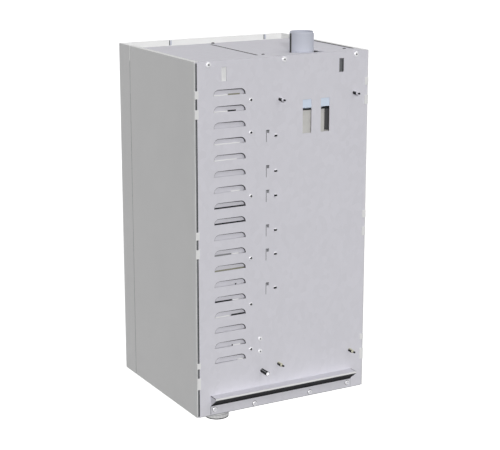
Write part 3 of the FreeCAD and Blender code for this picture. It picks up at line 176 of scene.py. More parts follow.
def foam(name, colour):
    """Closed-cell insulation with a slightly wrinkled skin."""
    surface = Surface(name, 0.75)
    surface.tint(surface.noise(0.02, 4), colour, 0.93, 1.06)
    surface.bump(surface.noise(0.008, 3), 0.0006, 0.5)
    surface.bump(surface.noise(0.0015), 0.0001, 0.5)
    return surface.material


def smoked_glass(name):
    surface = Surface(name, 0.08, coat=0.3)
    surface.colour(surface.noise(0.03), (0.012, 0.020, 0.018), (0.020, 0.030, 0.027))
    return surface.material


def solder_mask(name):
    """A green circuit board with a faint net of tracks under the varnish."""
    surface = Surface(name, 0.35)
    tracks = surface.cells(0.004)
    surface.colour(tracks, (0.015, 0.13, 0.055), (0.03, 0.19, 0.08), 0.2, 0.9)
    surface.bump(tracks, 0.00004, 0.5)
    return surface.material


RECIPES = {
    "painted_casing": (powder_coat, (0.865, 0.865, 0.865)),
    "galvanised_sheet": (galvanised, (0.745, 0.737, 0.79)),
    "zinc_steel": (plated, (0.80, 0.80, 0.82), 0.4, 0.45),
    "yellow_zinc": (plated, (0.25, 0.245, 0.19), 0.5, 0.25),
    "light_zinc": (plated, (0.60, 0.59, 0.48), 0.5, 0.2),
    "dark_steel": (plated, (0.06, 0.06, 0.065), 0.4, 0.8),
    "bright_steel": (plated, (0.85, 0.85, 0.87), 0.18, 1.0),
    "tank_steel": (powder_coat, (0.72, 0.81, 0.94), 0.45),
    "pipe_steel": (powder_coat, (0.62, 0.64, 0.72), 0.45, 0.1),
    "insulation": (foam, (0.68, 0.67, 0.645)),
    "black_plastic": (moulded, (0.024, 0.024, 0.027), 0.5, 0.12),
    "shadow_paint": (moulded, (0.014, 0.014, 0.016), 0.6, 0.06),
    "grey_plastic": (moulded, (0.22, 0.225, 0.235)),
    "light_plastic": (moulded, (0.76, 0.76, 0.76), 0.45, 0.3),
    "red_plastic": (moulded, (0.50, 0.03, 0.025)),
    "blue_plastic": (moulded, (0.03, 0.08, 0.32)),
    "heater_alloy": (plated, (0.38, 0.34, 0.28), 0.35, 0.9),
    "valve_brass": (plated, (0.68, 0.48, 0.20), 0.3, 1.0),
    "display_glass": (smoked_glass,),
    "circuit_board": (solder_mask,),
}
materials = {name: recipe(name, *values) for name, (recipe, *values) in RECIPES.items()}

for row in frame["record"]["subparts"]:
    mesh = nodes[row["node"]].data
    mesh.materials.clear()
    mesh.materials.append(materials[row["material_slot"]])
nodes["tank_sensor"].data.materials[0] = moulded("sensor_rubber", (0.075, 0.075, 0.08), 0.6, 0.3)
nodes["door_lock"].data.materials[0] = plated("lock_nickel", (0.44, 0.435, 0.42), 0.4, 0.6)


# Building pieces

RIB_POINTS = 4
SHARP = math.radians(35)


def put(name, data):
    """A new object in the scene."""
    item = bpy.data.objects.new(name, data)
    bpy.context.scene.collection.objects.link(item)
    return item


def ring(reaches, height):
    """Points spread evenly round local Z, each at its own distance."""
    turns = [2 * math.pi * index / len(reaches) for index in range(len(reaches))]
    return [(reach * math.cos(turn), reach * math.sin(turn), height)
            for reach, turn in zip(reaches, turns)]


def circle(radius, height, segments, ribs=0):
    """Points round local Z; where there are ribs, each is RIB_POINTS wide and half of it is sunk."""
    return ring([radius - (ribs if index % RIB_POINTS >= RIB_POINTS // 2 else 0)
                 for index in range(segments)], height)


def arc(x, y, radius, start, sweep=90, steps=5):
    """Points along an arc, whose angles are in degrees."""
    turns = [math.radians(start + sweep * step / steps) for step in range(steps + 1)]
    return [(x + radius * math.cos(turn), y + radius * math.sin(turn)) for turn in turns]


def rounded(x, y, half_x, half_y, radius):
    """Points round a rectangle with rounded corners."""
    return [point for quarter, (side, end) in enumerate(CORNERS)
            for point in arc(x + side * (half_x - radius), y + end * (half_y - radius), radius,
                             180 + 90 * quarter)]


class Shape:
    """Points and faces gathered from several parts into one piece."""

    def __init__(self):
        self.points, self.faces, self.slots = [], [], []

    def add(self, points, faces, slot=0, place=None):
        """Adds faces; slot is one material number, or a list with one for each face."""
        start = len(self.points)
        place = place or Matrix.Identity(4)
        self.points.extend(place @ Vector(point) for point in points)
        self.faces.extend([start + corner for corner in face] for face in faces)
        self.slots.extend(slot if isinstance(slot, list) else [slot] * len(faces))

    def loft(self, rings, slot=0, place=None, caps=True, ends=None):
        """A skin over closed rings of equal length, with flat ends. slot may be a function of the
        ring's number and the side's number, and then ends are the slots of the two flat ends."""
        count = len(rings[0])
        points = [point for row in rings for point in row]
        faces, slots = [], []
        for row in range(len(rings) - 1):
            for index in range(count):
                after = (index + 1) % count
                faces.append([row * count + index, row * count + after,
                              (row + 1) * count + after, (row + 1) * count + index])
                slots.append(slot(row, index) if callable(slot) else slot)
        if caps:
            faces.append(list(reversed(range(count))))
            faces.append([(len(rings) - 1) * count + index for index in range(count)])
            slots.extend(ends or (slot, slot))
        self.add(points, faces, slots, place)

    def turn(self, profile, slot=0, place=None, segments=32, caps=True):
        """A turned part about local Z from (radius, height) pairs, listed from below; a third number
        is the depth of its ribs."""
        rings = [circle(max(radius, 0.001), height, segments, *ribs)
                 for radius, height, *ribs in profile]
        self.loft(rings, slot, place, caps)

    def hoop(self, profile, slot=0, place=None, segments=32):
        """A closed ring about local Z, whose section has the profile's corners."""
        self.turn(profile + profile[:1], slot, place, segments, caps=False)

    def block(self, low, high, bevel=0.4, slot=0, place=None):
        """A block with rounded edges."""
        mesh = bmesh.new()
        bmesh.ops.create_cube(mesh, size=1)
        low, high = Vector(low), Vector(high)
        for point in mesh.verts:
            point.co = [(low[axis] + high[axis]) / 2 + point.co[axis] * (high[axis] - low[axis])
                        for axis in range(3)]
        bevel = min(bevel, min(high - low) * 0.45)
        bmesh.ops.bevel(mesh, geom=mesh.edges[:], offset=bevel, segments=2, affect="EDGES", profile=0.5)
        mesh.verts.index_update()
        self.add([point.co.copy() for point in mesh.verts],
                 [[point.index for point in face.verts] for face in mesh.faces], slot, place)
        mesh.free()

    def pad(self, place, half_x, half_y, low, high, bevel, slot=0):
        """A block centred on local Z, which it follows from low to high."""
        self.block((-half_x, -half_y, low), (half_x, half_y, high), bevel, slot, place)

    def lettering(self, text, size, place, slot=0):
        """Plain raised characters in the local XY plane, centred on the origin."""
        curve = bpy.data.curves.new("lettering", "FONT")
        curve.body = text
        curve.size = size
        curve.extrude = 0.1
        curve.resolution_u = 4
        curve.align_x = "CENTER"
        curve.align_y = "CENTER"
        holder = put("lettering", curve)
        depsgraph = bpy.context.evaluated_depsgraph_get()
        mesh = bpy.data.meshes.new_from_object(holder.evaluated_get(depsgraph))
        self.add([point.co.copy() for point in mesh.vertices],
                 [list(face.vertices) for face in mesh.polygons], slot, place)
        bpy.data.meshes.remove(mesh)
        bpy.data.objects.remove(holder)
        bpy.data.curves.remove(curve)

    def build(self, name, body, slot, *others, replaces=()):
        """The finished piece, riding on a body; others are the materials of numbers 1 and up."""
        mesh = bpy.data.meshes.new(name)
        mesh.from_pydata([point * MM for point in self.points], [], self.faces)
        for material in (slot, *others):
            mesh.materials.append(materials[material])
        mesh.polygons.foreach_set("material_index", self.slots)
        mesh.polygons.foreach_set("use_smooth", [True] * len(self.faces))
        cleaner = bmesh.new()
        cleaner.from_mesh(mesh)
        bmesh.ops.recalc_face_normals(cleaner, faces=cleaner.faces[:])
        cleaner.to_mesh(mesh)
        cleaner.free()
        mesh.set_sharp_from_angle(angle=SHARP)
        mesh.update()
        piece = put(name, mesh)
        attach(piece, body)
        if replaces:
            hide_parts(*replaces)

    def stand_in(self, node, body, *slots):
        """Builds the piece that takes the place of a CAD node."""
        self.build(node + "_detail", body, *slots, replaces=[node])


def box_of(name):
    """Lowest corner, highest corner and middle of a CAD node."""
    low, high = (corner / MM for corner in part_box(name))
    return low, high, (low + high) / 2


def boxes_of(name):
    """Lowest corner, highest corner and middle of each separate solid of a CAD node."""
    mesh = bmesh.new()
    mesh.from_mesh(nodes[name].data)
    bmesh.ops.remove_doubles(mesh, verts=mesh.verts[:], dist=1e-6)
    left = set(mesh.verts)
    found = []
    while left:
        queue = [left.pop()]
        low, high = queue[0].co.copy(), queue[0].co.copy()
        while queue:
            point = queue.pop()
            low = Vector(map(min, low, point.co))
            high = Vector(map(max, high, point.co))
            for edge in point.link_edges:
                other = edge.other_vert(point)
                if other in left:
                    left.remove(other)
                    queue.append(other)
        low, high = low / MM, high / MM
        found.append((low, high, (low + high) / 2))
    mesh.free()
    return sorted(found, key=lambda box: tuple(round(part, 2) for part in box[0]))


TURNS = {
    "+z": Matrix.Identity(4),
    "+y": Matrix.Rotation(-math.pi / 2, 4, "X"),
    "-y": Matrix.Rotation(math.pi / 2, 4, "X"),
    "+x": Matrix.Rotation(math.pi / 2, 4, "Y"),
    "-x": Matrix.Rotation(-math.pi / 2, 4, "Y"),
}


def facing(axis, x, y, z):
    """A frame at a point whose local Z looks along the named axis."""
    return Matrix.Translation((x, y, z)) @ TURNS[axis]


def upright(middle):
    """A frame whose local Z is the vertical through a point, with heights unchanged."""
    return facing("+z", middle.x, middle.y, 0)


METAL = 1.5
REAR_LOW, REAR_HIGH, _ = box_of("rear_panel")
FLOOR, TOP, EDGE = REAR_LOW.z, REAR_HIGH.z, REAR_HIGH.x
SIDE_OUT = box_of("side_panel_right")[1].x
DOOR_LOW, DOOR_HIGH, _ = box_of("door_shell")
DOOR_INSIDE = DOOR_LOW.y + METAL


def level(height):
    """Z of something that is measured from the cabinet's lower edge."""
    return FLOOR + height


def across(edge):
    """X of something that is measured from the back panel's +X edge."""
    return EDGE - edge


# Screws, rivets, bolts and the earth stud

SHANK, LOW_HEAD = 2, 2.2
THREAD_SIDES = 28


def cross(reach, width):
    """A cross recess; its sizes and those of the next two are shares of the head's radius."""
    return lambda x, y: min(abs(x), abs(y)) < width and max(abs(x), abs(y)) < reach


def slit(reach, width):
    return lambda x, y: abs(y) < width and abs(x) < reach


def hole(reach):
    return lambda x, y: math.hypot(x, y) < reach


def pan_head(shape, place, radius, height, shank, length, recess, head_slot=0, recess_slot=1):
    """A domed head over a plain shank; local Z points out of the head. Its recess takes the darker
    recess slot, as painted shade.
    """
    rows, count = 12, 40
    drop, depth = height * 0.45, height * 0.6
    rings = [circle(shank, -length, count), circle(shank, 0, count), circle(radius, 0, count)]
    for row in range(rows + 1):
        share = max(1 - row / rows, 0.02)
        rings.append([(x, y, z - (depth if recess(x / radius, y / radius) else 0))
                      for x, y, z in circle(radius * share, height - drop * share ** 4, count)])

    def finish(row, index):
        after = (index + 1) % count
        x, y = ((rings[row][index][axis] + rings[row + 1][after][axis]) / 2 / radius for axis in (0, 1))
        return recess_slot if row > 2 and recess(x, y) else head_slot

    shape.loft(rings, finish, place, ends=(head_slot, recess_slot))


def make_screws(node, slot, recess_slot, radius, height, recess, washer=0):
    """Detailed screws in place of a CAD node's plain ones, all facing the back."""
    shape = Shape()
    for low, high, middle in boxes_of(node):
        place = facing("+y", middle.x, high.y - height, middle.z)
        # Painted shade: the recess takes recess_slot, a darker colour.
        pan_head(shape, place, radius, height, SHANK, high.y - low.y - height, recess)
        if washer:
            shape.turn([(washer, -0.02), (washer, 0.25)], 2, place, 40)
    shape.stand_in(node, "cabinet", slot, recess_slot, "dark_steel")


def make_dark_screws():
    """Slotted screws of the stiffening angles, whose wide black slots are painted shade, and blackened
    ones of the top plates.
    """
    shape = Shape()
    for low, high, middle in boxes_of("dark_screws"):
        length = max(high - low) - LOW_HEAD
        if high.y - low.y > high.z - low.z:
            place = facing("+y", middle.x, high.y - LOW_HEAD, middle.z)
            pan_head(shape, place, 4.1, LOW_HEAD, SHANK, length, slit(0.95, 0.5), 1, 2)
        else:
            place = facing("+z", middle.x, middle.y, high.z - LOW_HEAD)
            pan_head(shape, place, 3.9, LOW_HEAD, SHANK, length, cross(0.6, 0.14), 0, 2)
    shape.stand_in("dark_screws", "cabinet", "dark_steel", "zinc_steel", "black_plastic")


def thread(shape, place, radius, low, high, pitch, slot=0):
    """A screw thread along local Z; the crest is at the given radius."""
    steps = int((high - low) / pitch * 6)
    depth = pitch * 0.55
    rings = []
    for step in range(steps + 1):
        height = low + (high - low) * step / steps
        crest = radius - depth * (1 - min(1.0, (high - height) / pitch))
        phases = [(height / pitch - index / THREAD_SIDES) % 1.0 for index in range(THREAD_SIDES)]
        rings.append(ring([crest - depth * abs(2 * phase - 1) for phase in phases], height))
    ends = (slot(0, 0), slot(0, 0)) if callable(slot) else None
    shape.loft(rings, slot, place, ends=ends)


def banded(*bands):
    """A slot chooser for a thread: each band is (its last angle in degrees from 180, slot)."""
    def choose(row, index):
        turn = (360 * (index + 0.5) / THREAD_SIDES - 180) % 360
        return next(slot for last, slot in bands if turn <= last)
    return choose


def make_bolts(node, pale, flank, *finishes):
    """Threaded tank bolts with a pale end face and pilot and a dark tip; their down-facing side and
    collar are darker, as painted shade.
    """
    pitch, head, pilot = 1.25, 5, 5
    # Painted shade: the flank and black bands on the side facing down, and the flank-coloured collar.
    bands = banded((112, pale), (135, flank), (250, 1), (360, pale))
    shape = Shape()
    for low, high, middle in boxes_of(node):
        place = facing("+y", middle.x, 0, middle.z)
        end = high.y - pilot
        thread(shape, place, 4.2, low.y + head, end - 0.3, pitch, bands)
        shape.turn([(3.5, end - 1), (3.9, end - 0.6), (3.9, end - 0.15), (3.6, end)], pale, place,
                   THREAD_SIDES)
        shape.turn([(1.9, end - 0.5), (1.9, end + 4.5)], pale, place, 20)
        shape.turn([(2.1, end + 4.4), (2.1, end + 8), (1.7, end + 8.4)], 1, place, 20)
        shape.turn([(6.3, low.y), (6.5, low.y + 0.6), (6.5, low.y + head - 0.4), (6.1, low.y + head)],
                   flank, place, 6)
    shape.stand_in(node, "cabinet", *finishes)


def make_stud():
    """The blackened earth stud with a bright turned end; a grey band down one side of its thread is a
    painted highlight.
    """
    low, high, middle = box_of("earth_stud")
    place = facing("+y", middle.x, 0, middle.z)
    end = high.y
    shape = Shape()
    # Painted highlight: the grey band from 120 to 146 degrees.
    thread(shape, place, 4.75, low.y, end - 2.5, 1.5, banded((120, 1), (146, 2), (360, 1)))
    shape.turn([(4.5, end - 2.6), (4.7, end - 2.2), (4.7, end - 0.5), (4.4, end - 0.15)], 1, place)
    shape.turn([(3.9, end - 0.4), (3.9, end - 0.1), (3.6, end)], 0, place)
    shape.stand_in("earth_stud", "cabinet", "bright_steel", "black_plastic", "grey_plastic")


make_screws("top_screws", "zinc_steel", "black_plastic", 5.8, 3, cross(0.28, 0.17))
make_screws("partition_screws", "zinc_steel", "black_plastic", 4.3, LOW_HEAD, cross(0.62, 0.3))
make_screws("rivets", "zinc_steel", "grey_plastic", 5.2, LOW_HEAD, hole(0.3))
make_screws("spacer_screws", "zinc_steel", "galvanised_sheet", 5.4, LOW_HEAD, hole(0.5), 6.1)
make_dark_screws()
make_bolts("tank_bolts_upper", 0, 2, "galvanised_sheet", "black_plastic", "grey_plastic")
make_bolts("tank_bolts_lower", 2, 0, "yellow_zinc", "black_plastic", "light_zinc")
make_stud()


# Back of the casing

LEDGE_HALF = box_of("wall_spacer")[1].x


def make_ledge():
    """The bent ledge along the foot, closed at its ends; its bend, underside and end lines are black as
    painted shade, and its lip is white as a painted highlight.
    """
    plain, dark, bright = 0, 1, 2
    profile = [(0, 2.4), (1.5, 2.4), (1.5, 21.8), (2, 23.4), (3, 24.8), (25, 41.7), (25.7, 42.3),
               (26, 42.9), (26, 45.8), (25.6, 46.4), (24.6, 46.5), (23.6, 46.5), (0, 46.5)]
    # Painted shade on the bend and underside (dark); painted highlight on the lip (bright).
    finishes = [plain] * 2 + [dark] * 5 + [bright] * 4 + [plain] * 2
    shape = Shape()
    rings = [[(x, y, level(height)) for y, height in profile] for x in (-LEDGE_HALF, LEDGE_HALF)]
    shape.loft(rings, lambda row, index: finishes[index], ends=(plain, plain))
    for side in BOTH:
        x = side * LEDGE_HALF
        # Painted shade: a black line at each end of the ledge's top.
        shape.block((x - 0.7, 1, level(45.6)), (x + 0.3, 24, level(46.6)), 0.1, dark)
    shape.stand_in("wall_spacer", "cabinet", "galvanised_sheet", "shadow_paint", "painted_casing")


LOUVRE_LEFT, LOUVRE_RIGHT = across(118), across(41)
LOUVRE_WIDTH = LOUVRE_RIGHT - LOUVRE_LEFT
LOUVRE_HEIGHT, LOUVRE_CORNER = 13, 12
LOUVRES, LOUVRE_PITCH, LOUVRE_FOOT = 18, 35.05, 119


def louvre_low(number):
    """Z of a louvre's lower edge; number 1 is the uppermost."""
    return level(LOUVRE_FOOT + LOUVRE_PITCH * (LOUVRES - number))


def louvre_arch(low):
    """Points round a louvre's mouth without its lower edge, with the way inward at each."""
    centre = low + LOUVRE_HEIGHT - LOUVRE_CORNER
    points = [(LOUVRE_RIGHT, low, -1, 0)]
    for middle, start in ((LOUVRE_RIGHT - LOUVRE_CORNER, 0), (LOUVRE_LEFT + LOUVRE_CORNER, 90)):
        points.extend((middle + LOUVRE_CORNER * x, centre + LOUVRE_CORNER * z, -x, -z)
                      for x, z in arc(0, 0, 1, start, steps=8))
    points.append((LOUVRE_LEFT, low, 1, 0))
    return points


def make_louvre_shade_lines():
    """Painted shade: a black line round each louvre's mouth, wider towards its far corner, where the
    recess wall is in shade.
    """
    narrow, wide = 0.5, 1.9
    outer, front, back = -0.05, -0.25, -1.2
    shape = Shape()
    for number in range(1, LOUVRES + 1):
        rings = []
        for x, z, in_x, in_z in louvre_arch(louvre_low(number)):
            width = narrow + (wide - narrow) * (LOUVRE_RIGHT - x) / LOUVRE_WIDTH
            section = ((outer, front), (width, front), (width, back), (outer, back))
            rings.append([(x + in_x * reach, y, z + in_z * reach) for reach, y in section])
        shape.loft(rings)
    shape.build("louvre_shade_lines", "cabinet", "black_plastic")


# What shows in each louvre's slit: colour, and where it starts and ends as shares of the slit
# from its +X end.
WHITE, BLACK, GREY, OLIVE = 1, 2, 3, 4
SLIT_COLOURS = {
    1: [(WHITE, 0, 0.45), (OLIVE, 0.47, 0.85)],
    2: [(WHITE, 0, 0.45), (BLACK, 0.45, 0.72)],
    4: [(WHITE, 0, 0.85)],
    5: [(WHITE, 0, 0.75)],
    7: [(WHITE, 0.55, 0.85)],
    8: [(BLACK, 0, 1)],
    9: [(BLACK, 0, 1)],
    11: [(GREY, 0, 0.55), (WHITE, 0.58, 0.8)],
    12: [(OLIVE, 0, 1)],
    13: [(BLACK, 0.68, 0.72)],
    14: [(BLACK, 0, 0.57), (WHITE, 0.6, 0.8)],
    15: [(WHITE, 0, 0.5), (BLACK, 0.55, 1)],
    17: [(BLACK, 0.56, 0.6), (WHITE, 0.6, 0.85)],
    18: [(WHITE, 0.75, 0.95)],
}


def make_louvre_baffles():
    """Deflector strips behind the louvres' open lower edges, turned up into some of the slits."""
    margin, fold = 1.6, -2.6
    shape = Shape()
    width = LOUVRE_WIDTH - 2 * margin
    for number in range(1, LOUVRES + 1):
        low = louvre_low(number)
        shape.block((LOUVRE_LEFT + 2, -8.6, low - 6), (LOUVRE_RIGHT - 2, -7.4, low + 4), 0.2)
        for colour, start, end in SLIT_COLOURS.get(number, []):
            first, last = (LOUVRE_RIGHT - margin - width * share for share in (end, start))
            shape.block((first, -7.6, low - 5.4), (last, fold, low - 4.4), 0.1, colour)
            rise = 2 if colour == WHITE else 2.8
            shape.block((first, fold - 0.8, low - 5.4), (last, fold, low + rise), 0.1, colour)
    shape.build("louvre_baffles", "cabinet", "galvanised_sheet", "painted_casing", "black_plastic",
                "grey_plastic", "yellow_zinc")


def make_hanging_pockets():
    """Pockets behind the two hanging slots: a light, shallow one and a deeper grey one, whose grey is
    painted shade inside its slot.
    """
    wide, high, skin = 6.6, 15.6, 1
    front = -METAL + 0.05
    # The right pocket's grey stands for the shade in its slot: painted shade.
    for name, side, back, slot in (("left", 1, -4, "painted_casing"), ("right", -1, -9, "grey_plastic")):
        middle = across(66.25) * side
        shape = Shape()
        shape.block((middle - wide - skin, back - skin, -high - skin),
                    (middle + wide + skin, back, high + skin), 0.2)
        for edge in BOTH:
            x, z = middle + edge * (wide + skin / 2), edge * (high + skin / 2)
            shape.block((x - skin / 2, back, -high - skin), (x + skin / 2, front, high + skin), 0.15)
            shape.block((middle - wide, back, z - skin / 2), (middle + wide, front, z + skin / 2), 0.15)
        shape.build("hanging_pocket_" + name, "cabinet", slot)


def make_edge_gap_strips_and_shade():
    """Strips in the gaps between the back panel and the side panels: on +X a grey strip and a black one
    lapping over the edge, painted shade in the gap; on -X a strip in the sheet's colour.
    """
    low, high = FLOOR + 3, TOP - 3
    inner, outer = EDGE + 0.1, SIDE_OUT - METAL - 0.1
    shape = Shape()
    shape.block((-outer, -3.4, low), (-inner, -0.2, high), 0.3, 1)
    # Painted shade: the grey +X strip and the black lap darken the gap and the panel's bright edge.
    shape.block((inner, -3.4, low), (outer, 0.3, high), 0.3, 0)
    shape.block((EDGE - 1.8, -0.02, low), (EDGE + 0.3, 0.3, high), 0.1, 2)
    shape.build("edge_gap_strips_and_shade", "cabinet", "grey_plastic", "galvanised_sheet", "black_plastic")


def make_plate_seam():
    """Painted shade: black strips in and over the joint between the two top plates, and in the gap along
    each side panel.
    """
    middle = across(173)
    plate = TOP - METAL
    shape = Shape()
    shape.block((middle - 0.95, -266, plate - 1.6), (middle + 0.95, -2.4, plate + 0.1), 0.1)
    shape.block((middle - 2.4, -262, plate - 0.02), (middle + 2.4, -40, plate + 0.3), 0.1)
    for side in BOTH:
        edge = side * (SIDE_OUT - 12)
        shape.block((edge - 0.6, -287.6, plate - 0.05), (edge + 0.6, -3, TOP - 0.05), 0.1)
    shape.build("plate_seam_shade", "cabinet", "black_plastic")


def make_foot_lines():
    """Painted shade: grey strips for the shadow under the back panel and at the ends of the ledge's
    foot.
    """
    shape = Shape()
    shape.block((-EDGE, -1.4, FLOOR + 0.02), (EDGE, 0.06, FLOOR + 1.0), 0.1)
    for side in BOTH:
        x = side * (LEDGE_HALF + 0.25)
        shape.block((x - 0.35, -0.05, level(2.4)), (x + 0.35, 1.3, level(22)), 0.1)
    shape.build("foot_shade_lines", "cabinet", "grey_plastic")


def make_tab_slots():
    """Painted shade: a black line in the gap beside each hooked tab, and a grey plate with a black line
    along its top in the eye at the tab's upper end.
    """
    left, right = across(176.8), across(169.5)
    first, pitch, apart, half, bevel = 274.35, 133.1, 78, 13.2, 0.1
    shape = Shape()
    for number in range(6):
        centre = level(first + pitch * (number // 2) + apart * (number % 2))
        shape.block((right - 0.2, -0.6, centre - half), (right + 0.8, 0.12, centre + half), bevel)
        shape.block((left + 0.2, -1.48, centre + 6.5), (right - 1.9, -0.9, centre + 13), bevel, 1)
        shape.block((left + 0.1, -0.9, centre + 12.3), (right, 0.12, centre + 13.4), bevel)
    shape.build("tab_slot_shade", "cabinet", "black_plastic", "grey_plastic")


def make_window_details():
    """A black band round the jacket's upper edge, painted shade under the tank's bracket plate, and the
    sensor's head and clip.
    """
    low, high, middle = box_of("tank_jacket")
    radius, edge = (high.x - low.x) / 2, high.z
    shape = Shape()
    # Painted shade: the black band under the bracket plate.
    shape.hoop([(radius - 6, edge - 1.7), (radius + 0.25, edge - 1.7), (radius + 0.35, edge + 0.5),
                (radius - 6, edge + 0.5)], 0, upright(middle), 96)
    low, high, _ = box_of("tank_sensor")
    shape.block((low.x, low.y + 3, high.z - 0.5), (high.x, high.y, high.z + 4.5), 0.6)
    shape.block((high.x - 0.5, high.y - 4, edge - 0.5), (high.x + 13, high.y - 1, edge + 2.2), 0.5)
    shape.build("jacket_shade_and_sensor", "cabinet", "black_plastic")


def make_door_trim():
    """Black strips on the door's rear edge, painted shade in its seam with the cabinet, and two hooks
    inside its upper wall, each with a black strip of painted shade in its slot.
    """
    low, high = DOOR_LOW, DOOR_HIGH
    start, end = high.y - 0.1, high.y + 1.0
    shape = Shape()
    # Painted shade: black strips along the door's seam.
    for x in (0.12 - high.x, high.x - 1.4):
        shape.block((x, start, low.z + 2), (x + 1.28, end, high.z - 34), 0.2)
    shape.block((low.x + 1, start, low.z + 0.1), (high.x - 1, end, low.z + 1.4), 0.2)
    shape.build("door_seam_shade", "door", "black_plastic")
    shape = Shape()
    back = DOOR_INSIDE - 0.05
    low, high = TOP - 13, TOP - 1.6
    for x in (88, -167):
        # Painted shade: a black strip in the hook's slot.
        shape.block((x - 0.9, back, low), (x + 0.9, back + 0.55, high), 0.15)
        shape.block((x - 5.4, back, low), (x - 0.9, back + 1.25, high), 0.3, 1)
    shape.build("door_hooks", "door", "black_plastic", "pipe_steel")


make_ledge()
make_louvre_shade_lines()
make_louvre_baffles()
make_hanging_pockets()
make_edge_gap_strips_and_shade()
make_plate_seam()
make_foot_lines()
make_tab_slots()
make_window_details()
make_door_trim()


# Pipes and gland

def make_gland():
    """The cable gland under the bottom tray: ribbed cap with a black underside and lower rim as painted
    shade, collared body and ribbed locknut.
    """
    low, high, middle = box_of("gland_cap")
    rim = (high.x - low.x) / 2
    bore, grip, segments = 14, 0.9, 24 * RIB_POINTS
    place = facing("+z", middle.x, middle.y, low.z)
    shape = Shape()
    # Painted shade: the cap's underside and lower rim are black.
    shape.turn([(bore, 5), (bore, 0.6), (bore + 0.8, 0), (rim - 1.6, 0), (rim - 0.1, 0.9),
                (rim - 0.1, 3)], 1, place, segments, caps=False)
    shape.turn([(rim - 0.1, 3), (rim, 3.4, grip), (rim, 8.6, grip), (rim - 1.6, 9.8), (bore, 9.8),
                (bore, 5)], 0, place, segments, caps=False)
    shape.stand_in("gland_cap", "cabinet", "light_plastic", "black_plastic")

    collar, place = 23.5, facing("+z", middle.x, middle.y, FLOOR)
    shape = Shape()
    shape.turn([(bore, -19), (bore + 1, -19), (bore + 1, -15.4), (collar, -15), (collar, -13)],
               0, place, 48, caps=False)
    shape.turn([(collar, -13), (collar, -12), (22, -2.4), (collar, -2), (collar, -0.02), (19, -0.02)],
               0, place, 48, caps=False)
    thread(shape, upright(middle), 19, FLOOR - 1, FLOOR + 12, 1.5)
    shape.stand_in("gland_body", "cabinet", "light_plastic")

    low, high = (corner.z for corner in box_of("gland_locknut")[:2])
    shape = Shape()
    shape.hoop([(19.3, low), (25, low), (26, low + 0.8, 1.2), (26, high - 0.8, 1.2), (25, high),
                (19.3, high)], 0, upright(middle), 12 * RIB_POINTS)
    shape.stand_in("gland_locknut", "cabinet", "light_plastic")


def make_pipe_flank_shade():
    """Painted shade: a black band down the flow pipe's flank, between two angles in degrees, and a grey
    band at its edge.
    """
    low, high, middle = box_of("flow_pipe")
    radius = (high.x - low.x) / 2
    inner, outer = radius - 0.1, radius + 0.12
    bottom, top = low.z + 1, high.z - 3.5
    section = ((inner, bottom), (outer, bottom), (outer, top), (inner, top))
    for name, slot, first, last in (("pipe_flank_shade", "black_plastic", -16, 0),
                                    ("pipe_flank_shade_edge", "grey_plastic", 0, 4)):
        shape = Shape()
        shape.loft([[(reach * x, reach * y, z) for reach, z in section]
                    for x, y in arc(0, 0, 1, first, last - first, 12)], 0, upright(middle))
        shape.build(name, "cabinet", slot)


make_gland()
make_pipe_flank_shade()


# Door with the controls

FASCIA_FACE = box_of("control_fascia")[0].y


def make_dial():
    """Tick marks and temperatures round the knob's travel."""
    middle = box_of("temperature_knob")[2]
    dial = facing("-y", middle.x, FASCIA_FACE, middle.z)
    marks, travel, start, numbers = 11, 270, 21, 29
    shape = Shape()
    for step in range(marks):
        turn = math.radians(travel * (step / (marks - 1) - 0.5))
        numbered = step % 2 == 0
        shape.block((-0.35, start, -0.05), (0.35, start + (3.4 if numbered else 2), 0.2), 0.08, 0,
                    dial @ Matrix.Rotation(-turn, 4, "Z"))
        if numbered:
            spot = (numbers * math.sin(turn), numbers * math.cos(turn), -0.05)
            shape.lettering(str(30 + 5 * step), 6, dial @ Matrix.Translation(spot))
    shape.build("dial_scale", "door", "light_plastic")


def figure_bars(figure, width, tall, thick):
    """Middle and half sizes of each lit bar of a seven-bar figure."""
    bars = {"a": (0, 2), "g": (0, 0), "d": (0, -2),
            "b": (1, 1), "c": (1, -1), "e": (-1, -1), "f": (-1, 1)}
    for name in {"0": "abcdef", "6": "acdefg"}[figure]:
        x, z = bars[name]
        flat = x == 0
        yield (x * width / 2, z * tall / 4,
               width / 2 - 1.2 if flat else thick / 2, thick / 2 if flat else tall / 4 - 1.1)


def make_display():
    """Lit figures behind the display window's glass, with a thin bezel round it."""
    low, high, middle = box_of("display_window")
    depth = (-0.05, 0.15)
    shape = Shape()
    for index, figure in enumerate("60"):
        for x, z, half_x, half_z in figure_bars(figure, 10, 18, 2.4):
            place = facing("-y", low.x + 22 + 15 * index + x, low.y, middle.z + z)
            shape.pad(place, half_x, half_z, *depth, 0.5)
    shape.lettering("°C", 11, facing("-y", low.x + 53, low.y - 0.1, middle.z))
    for index in range(3):
        place = facing("-y", high.x - 12, low.y, middle.z - 9 + 6 * index)
        shape.pad(place, 1, 1, *depth, 0.3)
    shape.build("display_figures", "door", "red_plastic")

    rings = []
    for grow, y in ((0, -0.05), (0, -1), (1.2, -1), (1.6, 0.05)):
        half_x, half_z = (high.x - low.x) / 2 + 1.5 + grow, (high.z - low.z) / 2 + 1.5 + grow
        rings.append([(x, FASCIA_FACE + y, z)
                      for x, z in rounded(middle.x, middle.z, half_x, half_z, 2 + grow)])
    shape = Shape()
    shape.loft(rings + rings[:1], caps=False)
    shape.build("display_bezel", "door", "grey_plastic")


